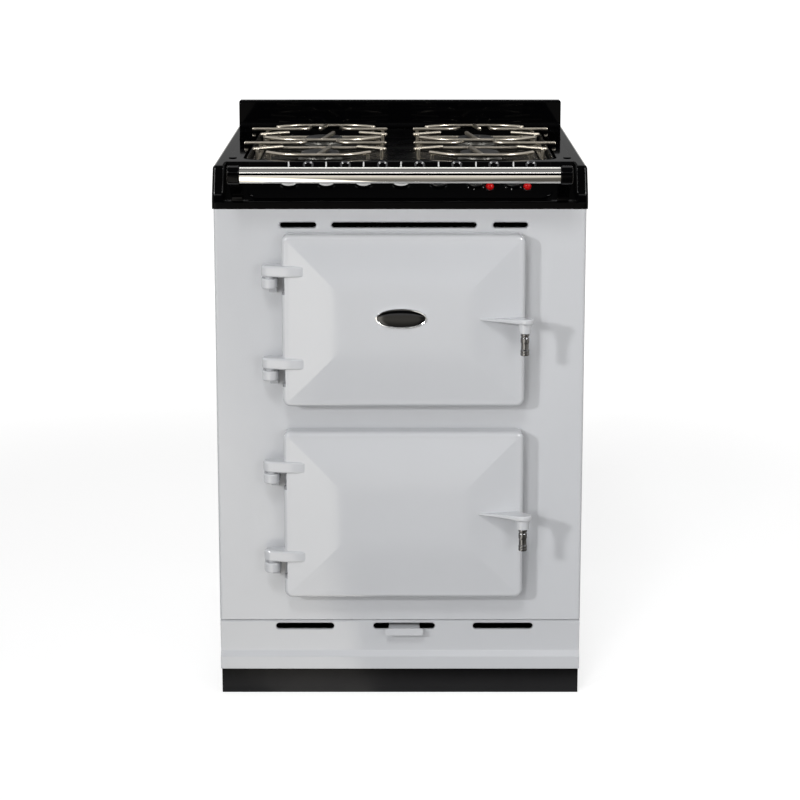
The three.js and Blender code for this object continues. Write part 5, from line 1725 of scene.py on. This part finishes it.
        tools = [Form().loft(rings(self.pan_inside))]
        low, high, r = self.pan_floor - 3, self.pan_floor + 2, self.pan_hole
        for _, y in self.burner_rows:
            for x in (-self.burner_x, self.burner_x):
                tools.append(Form().turned([(0, low), (r, low), (r, high), (0, high)], (x, y, 0), 48))
        pan = Form().loft(rings(self.pan_outside)).cut(*tools)
        pan.piece("hob_pan_enamel", WELL_BLACK, replaces=["hob_pan"])

    def burner(self, place: str, x: float, y: float) -> None:
        """Burner head with slots round its crown, its cap and the igniter beside it.

        Args:
            place: Where it stands, for its name.
            x: Its middle along X.
            y: Its middle along Y.
        """
        z = self.pan_floor
        head = Form().turned(self.head_profile, (x, y, z), 60)
        ports = []
        for i in range(self.ports):
            port = Form().block((26, -0.9, 6.4), (34, 0.9, 12))
            turn = Matrix.Rotation(math.radians(360 / self.ports * (i + 0.25)), 4, "Z")
            ports.append(port.moved(Matrix.Translation((x, y, z)) @ turn))
        head.cut(Form().add(*ports))
        head.piece(f"burner_crown_{place}", CROWN, replaces=[f"burner_head_{place}"])
        cap = Form().turned(self.cap_profile, (x, y, z + self.head_height), 60)
        cap.piece(f"burner_lid_{place}", CAP, replaces=[f"burner_cap_{place}"])
        away, angle = self.igniter_place[0], math.radians(self.igniter_place[1])
        at = (x + away * math.cos(angle), y + away * math.sin(angle), z)
        Form().turned(self.igniter_profile, at, 20).piece(f"igniter_{place}", CERAMIC)

    def pan_support(self, name: str, sign: int) -> None:
        """Pan support over two burners: bars on a lower frame.

        Args:
            name: Left or right, for its name.
            sign: -1 on the left and 1 on the right.
        """
        w, z = self.support, self.rim + 5
        low = self.pan_floor + 1 + self.frame_bar
        middle = sign * self.burner_x

        def at(x: float, y: float, up: float = z) -> Point:
            """A point of the support, from the line between its burners."""
            return (middle + sign * x, y, up)

        front, rear = (y for _, y in self.burner_rows)
        # each bowed bar's ends along Y, how far it bows, and half its length
        arcs = [
            (front - 0.74 * w, 0.35 * w, 0.77 * w),
            (rear - 0.74 * w, 0.36 * w, 0.9 * w),
            (rear + 0.76 * w, -0.26 * w, 0.8 * w),
        ]
        bars = Form()
        for y, sag, half in arcs:
            bow = ((-1, 0), (-0.6, 0.88), (0, 1), (0.6, 0.88), (1, 0))
            bars.rod([at(across * half, y - down * sag) for across, down in bow], self.bar, 14, 8)
        for y in (front, rear):
            for side in (-1, 1):
                bars.rod([at(side * w, y - 0.32 * w), at(side * 0.58 * w, y - 0.04 * w)], self.bar, 14)
            long = y + 0.46 * w
            bars.rod([at(1.18 * w, long), at(0.36 * w, long), at(0.25 * w, long + 0.27 * w)], self.bar, 14, 8)
            bars.rod([at(-w, long), at(-0.39 * w, long), at(-0.25 * w, long + 0.27 * w)], self.bar, 14, 8)
        tips = (front - 0.1 * w, rear - 0.1 * w, rear + 0.5 * w)
        for (y, sag, _), tip in zip(arcs, tips):
            bars.rod([at(0, y - sag), at(-self.finger_lean * (tip - y + sag), tip)], self.finger, 14)
        y0, y_middle, y1 = (y for y, _, _ in arcs)
        half = w - 2 * self.bar
        for y in (y0, y_middle, y1):
            bars.rod([at(-half, y, low), at(half, y, low)], self.frame_bar)
        for x in (-half, half):
            bars.rod([at(x, y0, low), at(x, y1, low)], self.frame_bar)
        posts = [(side * (reach - 3), y) for y, _, reach in arcs for side in (-1, 1)]
        posts += [(side * half, y + up * w) for y in (front, rear) for up in (-0.32, 0.46) for side in (-1, 1)]
        for x, y in posts:
            bars.rod([at(x, y, self.pan_floor + 2.2), at(x, y, z - 1)], self.frame_bar)
        bars.piece(f"pan_bars_{name}", BAR, f"pan_support_{name}", [f"pan_support_{name}"])

    def splashback(self) -> None:
        """Upright with a coved foot and a rounded top edge."""
        half, cove = self.back_half, self.back_cove
        back, front, top = self.depth, self.depth - self.back_thick, self.rim + self.back_height
        outline = [
            (back, self.rim),
            (back, top - 1.2),
            (back - 1.2, top),
            *arc(front + 4, top - 4, 4, 90, 180, 8),
            *arc(front - cove, self.rim + cove, cove, 0, -90, 10),
        ]
        upright = Form().prism(outline, Axis.X, -half, half)
        face = rounded(-half, half, self.rim - 8, top, 4)
        upright.kept_inside(Form().prism(face, Axis.Y, front - 20, back + 1))
        upright.softened(2.0, 4, 40).piece("splashback_enamel", BLACK, replaces=["splashback"])


# ---- controls


@dataclass
class Controls:
    """Everything on the control slope, made in the slope's frame: X, up the slope, out of it."""

    foot: Flat = (16.0, 835.0)
    run: float = 64.0
    rise: float = 55.0
    half: float = 246.0
    corner: float = 17.0
    corner_up: float = 20.0
    face: float = 3.3
    pitch: float = 60.5
    shift: float = 1.7
    knobs: int = 7
    gas_knobs: int = 4
    knob_up: float = 42.0
    knob_base: float = 3.9
    spindle: float = 4.2
    skirt_profile: tuple[Flat, ...] = (
        (0, 0), (17.2, 0), (18, 0.7), (18, 2.8), (17.7, 3.7), (16.9, 4.5), (15.6, 5.1), (13.5, 5.7),
        (11.2, 6.6), (9.6, 8), (8.8, 9.2), (0, 9.5),
    )
    blade_outline: tuple[Flat, ...] = (
        (-15.5, 4), (15.5, 4), (15.8, 15), (15.2, 23), (13.4, 27.4), (9.6, 28.6), (-7.2, 26), (-10.8, 23),
        (-14, 15),
    )
    blade_half: float = 4.0
    socket: Flat = (3.3, 12.3)  # radius and depth of the hole for the spindle
    line: tuple[Flat, ...] = ((15.6, 14.2), (15.0, 22.7), (13.2, 27.0), (9.5, 28.2), (2.5, 27.2))
    line_half: float = 1.0
    line_thick: float = 0.32
    wedge_line: tuple[Flat, ...] = ((17.66, 3.85), (16.95, 4.57), (15.64, 5.17), (14.2, 5.56), (12.6, 6.1))
    wedge_thick: float = 0.12
    wedge_start: float = 218.0
    wedge_turn: float = 104.0
    stud_up: float = 73.0
    stud_profile: tuple[Flat, ...] = (
        (0, -2.4), (9, -2.4), (9, 0.6), (8.7, 1.3), (8.1, 1.6), (7.4, 1.4), (6.6, 0.7), (5.4, -0.1),
        (3.6, -0.8), (1.8, -1.2), (0, -1.3),
    )
    tick_angles: tuple[float, ...] = (235.0, 262.0, 305.0)
    tick_reach: Flat = (20.0, 22.2)
    tick_half: float = 0.35
    lamp_up: float = 25.0
    lamp_shift: float = 22.7
    lamp_hole: float = 5.3
    lens_profile: tuple[Flat, ...] = (
        (5, 0), (6.2, 0.6), (6.5, 1.6), (6.3, 3.4), (5.4, 5.2), (3.8, 6.6), (1.9, 7.3), (0, 7.5),
    )
    ring_profile: tuple[Flat, ...] = ((5.0, -0.3), (7.2, -0.3), (7.2, 0.1), (6.9, 0.5), (5.6, 0.4), (5.0, 0.2))

    @property
    def to_body(self) -> Matrix:
        """Turns the slope's frame into the body's."""
        turn = Matrix.Rotation(math.atan2(self.rise, self.run), 4, "X")
        return Matrix.Translation((0, *self.foot)) @ turn

    @property
    def length(self) -> float:
        """Length of the slope."""
        return math.hypot(self.run, self.rise)

    @property
    def knob_xs(self) -> list[float]:
        """Where the knobs stand."""
        return [self.shift + (i - self.knobs // 2) * self.pitch for i in range(self.knobs)]

    @property
    def electric_xs(self) -> list[float]:
        """Where the knobs with a lamp and tick marks stand."""
        return self.knob_xs[-2:]

    @property
    def lamp_xs(self) -> list[float]:
        """Where the lamps stand."""
        return [x + self.lamp_shift for x in self.electric_xs]

    def holes(self, low: float, high: float) -> list[Form]:
        """Volumes of the holes for spindles and lamps, in the slope's frame.

        Args:
            low: Where they begin, out of the slope.
            high: Where they end.

        Returns:
            The volumes, as forms.
        """
        spindles = [(x, self.knob_up, self.spindle) for x in self.knob_xs]
        lamps = [(x, self.lamp_up, self.lamp_hole) for x in self.lamp_xs]
        return [
            Form().turned([(0, low), (r, low), (r, high), (0, high)], (x, up, 0), 24)
            for x, up, r in (*spindles, *lamps)
        ]

    def build(self) -> None:
        """Makes the fascia, knobs, marks and lamps, and dresses what lies behind them."""
        self.fascia()
        for i, x in enumerate(self.knob_xs, 1):
            self.knob(i, x)
        self.marks()
        for i, x in enumerate(self.lamp_xs, 1):
            self.lamp(i, x)
        dress(BRASS, *(f"gas_tap_{i}" for i in range(1, self.gas_knobs + 1)))
        dress(SWITCH, "switch_bank")
        dress(PIPE, "gas_manifold")

    def fascia(self) -> None:
        """Black plate with a shallow dished stud beside each knob."""
        half, corner, top = self.half, self.corner, self.length - 3
        outline = [
            *arc(half - corner, self.corner_up, corner, -90, 0, 10),
            (half, top),
            (-half, top),
            *arc(-half + corner, self.corner_up, corner, 180, 270, 10),
        ]
        plate = Form().prism(outline, Axis.Z, 0.3, self.face, 1.2).cut(*self.holes(-1, 5))
        plate.moved(self.to_body).piece("control_fascia_enamel", BLACK, replaces=["control_fascia"])
        studs = Form()
        for x in self.knob_xs:
            studs.turned(self.stud_profile, (x + self.pitch / 2, self.stud_up, self.face), 48)
        studs.moved(self.to_body).piece("fascia_studs", STUD)

    def knob(self, number: int, x: float) -> None:
        """Knob: a dished skirt and a tall blade with a white line along its edge.

        Args:
            number: Its number from the left.
            x: Where it stands.
        """
        body = f"knob_{number}"
        knob = Form().turned(self.skirt_profile, steps=48)
        knob.prism(self.blade_outline, Axis.X, -self.blade_half, self.blade_half, 1.7)
        r, deep = self.socket
        knob.cut(Form().turned([(0, -1), (r, -1), (r, deep), (0, deep)], steps=16))
        place = self.to_body @ Matrix.Translation((x, self.knob_up, self.knob_base))
        knob.moved(place).piece(f"{body}_moulding", KNOB, body, [body])
        out = [(y + self.line_thick, z + self.line_thick) for y, z in self.line]
        printed = Form().prism([*self.line, *out[::-1]], Axis.X, -self.line_half, self.line_half)
        if number <= self.gas_knobs:
            printed.add(self.wedge())
        printed.moved(place).piece(f"{body}_print", PRINT, body)

    def wedge(self) -> Form:
        """Printed wedge round the lower side of a skirt, thin at one end and thick at the other.

        Returns:
            The wedge, as a form.
        """
        steps, cells = 24, len(self.wedge_line) - 1
        rings = []
        for i in range(steps + 1):
            share = i / steps
            a = math.radians(self.wedge_start + self.wedge_turn * share)
            reach = 0.15 + 0.85 * math.sin(math.pi * min(share * 1.15, 1)) ** 0.7
            under, over = (
                [self.along(self.wedge_line, reach * k / cells, lift) for k in range(cells + 1)]
                for lift in (0.0, self.wedge_thick)
            )
            rings.append([(r * math.cos(a), r * math.sin(a), z) for r, z in (*under[::-1], *over)])
        return Form().loft(rings)

    @staticmethod
    def along(line: Sequence[Flat], share: float, lift: float) -> Flat:
        """Point at a share of a line of points, moved outwards by a lift.

        Args:
            line: The line's points.
            share: Share of its steps.
            lift: How far outwards.

        Returns:
            The point.
        """
        at = share * (len(line) - 1)
        i = min(int(at), len(line) - 2)
        (x0, y0), (x1, y1) = line[i], line[i + 1]
        part = at - i
        length = math.hypot(x1 - x0, y1 - y0)
        return (
            x0 + (x1 - x0) * part + lift * (y1 - y0) / length,
            y0 + (y1 - y0) * part - lift * (x1 - x0) / length,
        )

    def marks(self) -> None:
        """Printed tick marks below the last two knobs."""
        printed = Form()
        near, far = self.tick_reach
        for x in self.electric_xs:
            centre = Vector((x, self.knob_up))
            for angle in self.tick_angles:
                a = math.radians(angle)
                along = Vector((math.cos(a), math.sin(a)))
                across = Vector((-math.sin(a), math.cos(a))) * self.tick_half
                ends = [centre + along * near, centre + along * far]
                tick = [ends[0] - across, ends[1] - across, ends[1] + across, ends[0] + across]
                printed.prism([(p.x, p.y) for p in tick], Axis.Z, self.face - 0.02, self.face + 0.08)
        printed.moved(self.to_body).piece("fascia_print", PRINT)

    def lamp(self, number: int, x: float) -> None:
        """Neon lamp: a red domed lens in a thin black ring.

        Args:
            number: Its number from the left.
            x: Where it stands.
        """
        base = self.face + 0.3
        place = self.to_body @ Matrix.Translation((x, self.lamp_up, 0))
        lens = [(0, -13), (5, -13), *((r, base + up) for r, up in self.lens_profile)]
        dome = Form().turned(lens, steps=36).moved(place)
        dome.piece(f"lamp_lens_{number}", LENS, replaces=[f"neon_lamp_{number}"])
        ring = [(r, base + up) for r, up in self.ring_profile]
        Form().turned(ring, steps=36, closed=True).moved(place).piece(f"lamp_ring_{number}", KNOB)


# ---- handrail


@dataclass
class HandRail:
    """Steel tube between two black brackets."""

    half: float = 252.0
    tube_profile: tuple[Flat, ...] = ((11.0, 0.0), (12.6, 0.0), (13.0, 0.4))  # radius, and how far from the end
    y: float = -70.0
    z: float = 887.0
    cap: float = 14.5
    width: float = 19.0
    ledge: float = 835.0
    arm_front: tuple[Flat, ...] = ((14.5, 0.0), (14.5, 0.16), (8.5, 0.34), (-21.0, 0.86))
    arm_back: tuple[Flat, ...] = ((-42.0, 0.62), (-5.6, 0.24), (1.0, 0.12), (1.0, 0.0))
    spigot_profile: tuple[Flat, ...] = ((0, -14), (10.7, -14), (10.7, 2), (0, 2))

    def build(self) -> None:
        """Makes the tube and both brackets."""
        along = Matrix.Translation((0, self.y, self.z)) @ Matrix.Rotation(math.radians(90), 4, "Y")
        profile = [(r, inwards - self.half) for r, inwards in self.tube_profile]
        profile += [(r, self.half - inwards) for r, inwards in reversed(self.tube_profile)]
        tube = Form().turned(profile, steps=72, closed=True)
        tube.moved(along).piece("rail_tube", RAIL, replaces=["hand_rail"])
        for side, name in ((-1, "left"), (1, "right")):
            self.bracket(side, name)

    def bracket(self, side: int, name: str) -> None:
        """One bracket: a round cap on an arm that comes up from the ledge.

        Args:
            side: -1 on the left and 1 on the right.
            name: Left or right, for its name.
        """
        rise = self.z - self.ledge
        outline = [
            *((y, self.ledge + share * rise) for y, share in self.arm_front),
            *arc(self.y, self.z, self.cap, 70, 262, 24),
            *((y, self.ledge + share * rise) for y, share in self.arm_back),
        ]
        low, high = sorted((side * self.half, side * (self.half + self.width)))
        arm = Form().prism(outline, Axis.X, low, high, 2.0)
        turn = Matrix.Rotation(math.radians(90 * side), 4, "Y")
        place = Matrix.Translation((side * self.half, self.y, self.z)) @ turn
        arm.add(Form().turned(self.spigot_profile, steps=40).moved(place))
        arm.piece(f"rail_arm_{name}", BLACK, replaces=[f"rail_bracket_{name}"])


# ---- studio


@dataclass
class Softbox:
    """One area lamp aimed at a point. Reflections show the cards instead of it."""

    name: str
    place: Point
    aim: Point
    size: Flat
    power: float
    spread: float = 180.0  # in degrees; a narrow one lights less what lies off its axis

    def build(self) -> None:
        """Adds the lamp."""
        data = bpy.data.lights.new(self.name, "AREA")
        data.spread = math.radians(self.spread)
        data.shape = "RECTANGLE"
        data.size, data.size_y = self.size
        data.energy = self.power
        lamp = linked(self.name, data)
        lamp.location = self.place
        lamp.rotation_mode = "QUATERNION"
        lamp.rotation_quaternion = (Vector(self.aim) - Vector(self.place)).to_track_quat("-Z", "Y")
        lamp.visible_glossy = False


@dataclass
class GlossOnly:
    """Sheet that only reflections see."""

    name: str
    glow: float  # its brightness, where 1 is white and 0 is black
    sampled_from: float = 2.0  # glow from which Cycles samples the sheet as a lamp

    def show(self, points: Sequence[Point], faces: Sequence[tuple[int, ...]]) -> None:
        """Adds the sheet.

        Args:
            points: Its points, in metres.
            faces: Its faces.
        """
        mesh = bpy.data.meshes.new(self.name)
        mesh.from_pydata(list(points), [], list(faces))
        card = linked(self.name, mesh)
        material = bpy.data.materials.new(self.name)
        material.use_nodes = True
        inputs = material.node_tree.nodes["Principled BSDF"].inputs
        inputs["Base Color"].default_value = (0, 0, 0, 1)
        inputs["Specular IOR Level"].default_value = 0.0
        inputs["Roughness"].default_value = 1.0
        inputs["Emission Color"].default_value = (1, 1, 1, 1)
        inputs["Emission Strength"].default_value = self.glow
        material.cycles.emission_sampling = "NONE" if self.glow < self.sampled_from else "FRONT_BACK"
        mesh.materials.append(material)
        card.visible_camera = False
        card.visible_diffuse = False
        card.visible_shadow = False
        card.visible_transmission = False


@dataclass
class Card:
    """Curved card round the cooker.

    It lies on a barrel about a level line through the hob. Its two edges are angles above the horizon in front,
    so 90 is overhead and 180 is the horizon behind.
    """

    name: str
    angles: Flat
    glow: float
    across: Flat = (-5.0, 5.0)
    radius: float = 5.0
    middle: Flat = (-0.3, 0.9)
    step: float = 4.0  # angle that one of its flat faces spans, about

    def build(self) -> None:
        """Adds the card."""
        low, high = self.angles
        steps = max(2, round((high - low) / self.step))
        y, z = self.middle
        rows = [
            (y - self.radius * math.cos(math.radians(a)), z + self.radius * math.sin(math.radians(a)))
            for a in (low + (high - low) * i / steps for i in range(steps + 1))
        ]
        points = [(x, *row) for row in rows for x in self.across]
        faces = [(2 * i, 2 * i + 1, 2 * i + 3, 2 * i + 2) for i in range(steps)]
        GlossOnly(self.name, self.glow).show(points, faces)


@dataclass
class Glint:
    """Small bright card whose reflection makes the glints on rounded edges."""

    name: str
    azimuth: float  # from straight ahead to the right, in degrees
    height: float = 38.0  # above the horizon, in degrees
    half: Flat = (0.7, 0.45)
    distance: float = 5.0
    middle: Point = (0.0, -0.3, 0.9)
    glow: float = 90.0

    def build(self) -> None:
        """Adds the card."""
        azimuth, height = math.radians(self.azimuth), math.radians(self.height)
        level = math.cos(height)
        away = Vector((math.sin(azimuth) * level, -math.cos(azimuth) * level, math.sin(height)))
        across = Vector((-away.y, away.x, 0)).normalized() * self.half[0]
        up = away.cross(across).normalized() * self.half[1]
        centre = Vector(self.middle) + away * self.distance
        points = [tuple(centre + across * a + up * b) for a, b in ((-1, -1), (1, -1), (1, 1), (-1, 1))]
        GlossOnly(self.name, self.glow).show(points, [(0, 1, 2, 3)])


@dataclass
class Floor:
    """Pale floor that keeps the shadow near the cooker and is white further out."""

    colour: Colour = (0.5, 0.5, 0.5)
    radius: float = 40.0
    glow: float = 0.72  # under the cooker, as the camera sees it
    white: Flat = (1.3, 3.2)  # distances between which it turns white, in metres
    gloss_colour: Colour = (0.12, 0.113, 0.1)  # as reflections see it
    gloss_tint: Colour = (1.0, 0.955, 0.86)
    gloss_glow: Flat = (0.12, 0.82)
    gloss_reach: Flat = (0.6, 3.0)  # distances between which that grows, in metres
    left_gain: float = 2.4  # added to it at the left of the front
    right_share: float = 0.15  # how much of it is left at the right
    side_angle: float = 25.0  # of the middle of both zones from straight ahead, in degrees
    side_half: Flat = (12.0, 18.0)  # half angles between which a zone ends

    def build(self) -> None:
        """Adds the floor."""
        mesh = bpy.data.meshes.new("floor")
        rim = [(x, y, 0.0) for x, y in circle(0, 0, self.radius, 96)]
        mesh.from_pydata(rim, [], [tuple(range(len(rim)))])
        material = bpy.data.materials.new("floor")
        material.use_nodes = True
        self.dress(material.node_tree)
        material.cycles.emission_sampling = "NONE"
        mesh.materials.append(material)
        linked("floor", mesh)

    def dress(self, tree: Tree) -> None:
        """Adds the floor's nodes, whose colour and glow differ for the camera and for reflections.

        Args:
            tree: The floor's node tree.
        """
        shader = tree.nodes["Principled BSDF"]
        seen = add_node(tree, "ShaderNodeLightPath")
        for name, plain, in_gloss in (
            ("Base Color", self.colour, self.gloss_colour),
            ("Emission Color", (1.0, 1.0, 1.0), self.gloss_tint),
        ):
            either = mixed(tree, seen.outputs["Is Glossy Ray"], (*plain, 1), (*in_gloss, 1))
            tree.links.new(either, shader.inputs[name])
        shader.inputs["Roughness"].default_value = 0.9
        shader.inputs["Specular IOR Level"].default_value = 0.0
        place = add_node(tree, "ShaderNodeTexCoord").outputs["Object"]
        away = add_node(tree, "ShaderNodeVectorMath", operation="LENGTH")
        tree.links.new(place, away.inputs[0])
        distance = away.outputs["Value"]
        white = ranged(tree, distance, self.white, (self.glow, 1.0), smooth=True)
        gloss = ranged(tree, distance, self.gloss_reach, self.gloss_glow, smooth=True)
        parts = [
            calc(tree, "MULTIPLY", white, seen.outputs["Is Camera Ray"]),
            calc(tree, "MULTIPLY", self.sided(tree, place, gloss), seen.outputs["Is Glossy Ray"]),
        ]
        tree.links.new(calc(tree, "ADD", *parts), shader.inputs["Emission Strength"])

    def sided(self, tree: Tree, place: Socket, glow: Socket) -> Socket:
        """Makes the glow in reflections stronger at the left of the front and weaker at the right.

        Args:
            tree: The floor's node tree.
            place: Socket with the place on the floor.
            glow: Socket with the even glow.

        Returns:
            Socket with the sided glow.
        """
        parts = add_node(tree, "ShaderNodeSeparateXYZ", Vector=place)
        front = calc(tree, "MULTIPLY", parts.outputs["Y"], -1.0)
        angle = calc(tree, "ARCTAN2", parts.outputs["X"], front)
        middle = math.radians(self.side_angle)
        half = tuple(math.radians(a) for a in self.side_half)
        left = calc(tree, "ABSOLUTE", calc(tree, "ADD", angle, middle))
        right = calc(tree, "ABSOLUTE", calc(tree, "ADD", angle, -middle))
        glow = calc(tree, "ADD", glow, ranged(tree, left, half, (self.left_gain, 0.0), smooth=True))
        return calc(tree, "MULTIPLY", glow, ranged(tree, right, half, (self.right_share, 1.0), smooth=True))


@dataclass
class Studio:
    """Floor, world, lamps, cards and camera."""

    camera_distance: float = 3600.0
    camera_height: float = 1.35
    tilt: float = 11.78
    lens: float = 101.8
    rise: float = -0.068
    ambient: float = 0.3
    stands: tuple[Floor | Softbox | Card | Glint, ...] = (
        Floor(),
        Softbox("key", (-2.6, -3.65, 1.9), (0, -0.25, 0.5), (0.3, 0.3), 63.0),
        Softbox("right", (2.2, -4.2, 1.3), (0.1, -0.25, 0.5), (1.4, 1.4), 23.0),
        Softbox("right_side", (3.4, -1.2, 1.2), (0.2, -0.25, 0.5), (1.6, 1.8), 15.0),
        Softbox("left_front", (-2.6, -8.6, 2.4), (2.0, -0.25, 0.9), (1.5, 1.5), 13.0, 44.0),
        Softbox("top_front", (-0.6, -5.6, 6.4), (1.6, -0.25, 0.8), (2.0, 1.6), 15.5, 46.0),
        Card("card_front", (3, 33), 0.0),
        Card("card_front_rim", (33, 38), 0.15),
        Card("card_strip", (38.8, 41.6), 6.0, (-3.2, 3.2), 4.9),
        Card("card_high", (42, 62), 0.3),
        Card("card_overhead", (62, 97), 0.26),
        Card("card_overhead_rear", (97, 113), 0.08),
        Card("card_strip_rear", (131, 134.5), 5.0, (-3.2, 3.2), 4.9),
        Card("card_rear", (146, 177), 0.04, (-0.42, 0.42)),
        Card("card_rear_left", (146, 177), 0.22, (-5.0, -0.42)),
        Card("card_rear_right", (146, 177), 0.22, (0.42, 5.0)),
        Glint("glint_left", -54.0),
        Glint("glint_right", 54.0),
    )

    def build(self) -> None:
        """Adds everything round the cooker."""
        self.world()
        for stand in self.stands:
            stand.build()
        self.camera()

    def world(self) -> None:
        """White where it is seen, weaker where it lights."""
        world = bpy.data.worlds.new("studio")
        bpy.context.scene.world = world
        world.use_nodes = True
        tree = world.node_tree
        background = tree.nodes["Background"]
        background.inputs["Color"].default_value = (1, 1, 1, 1)
        path = add_node(tree, "ShaderNodeLightPath").outputs
        seen = calc(tree, "MAXIMUM", path["Is Camera Ray"], path["Is Glossy Ray"])
        seen = calc(tree, "MAXIMUM", seen, path["Is Transmission Ray"])
        tree.links.new(ranged(tree, seen, (0.0, 1.0), (self.ambient, 1.0)), background.inputs["Strength"])

    def camera(self) -> None:
        """Camera at the photograph's viewing angle."""
        data = bpy.data.cameras.new("camera")
        data.lens = self.lens
        data.sensor_width = 36.0
        data.shift_y = self.rise
        camera = linked("camera", data)
        camera.location = (0, -(self.camera_distance + MIDDLE_Y) * METRES_PER_UNIT, self.camera_height)
        camera.rotation_euler = (math.radians(90 - self.tilt), 0, 0)
        bpy.context.scene.camera = camera


def main() -> None:
    """Builds the studio and the cooker's looks."""
    logging.basicConfig(level=logging.INFO, format="%(name)s: %(message)s")
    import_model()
    bpy.context.scene.view_settings.view_transform = "Standard"
    Studio().build()
    case = Case()
    case.build()
    for level, height in zip((Level.LOWER, Level.UPPER), case.mouth_heights):
        OvenDoor(level, height).build()
    OvenInsides().build()
    controls = Controls()
    Hob().build([hole.moved(controls.to_body) for hole in controls.holes(-12, 6)])
    controls.build()
    HandRail().build()


if __name__ == "__main__":
    main()
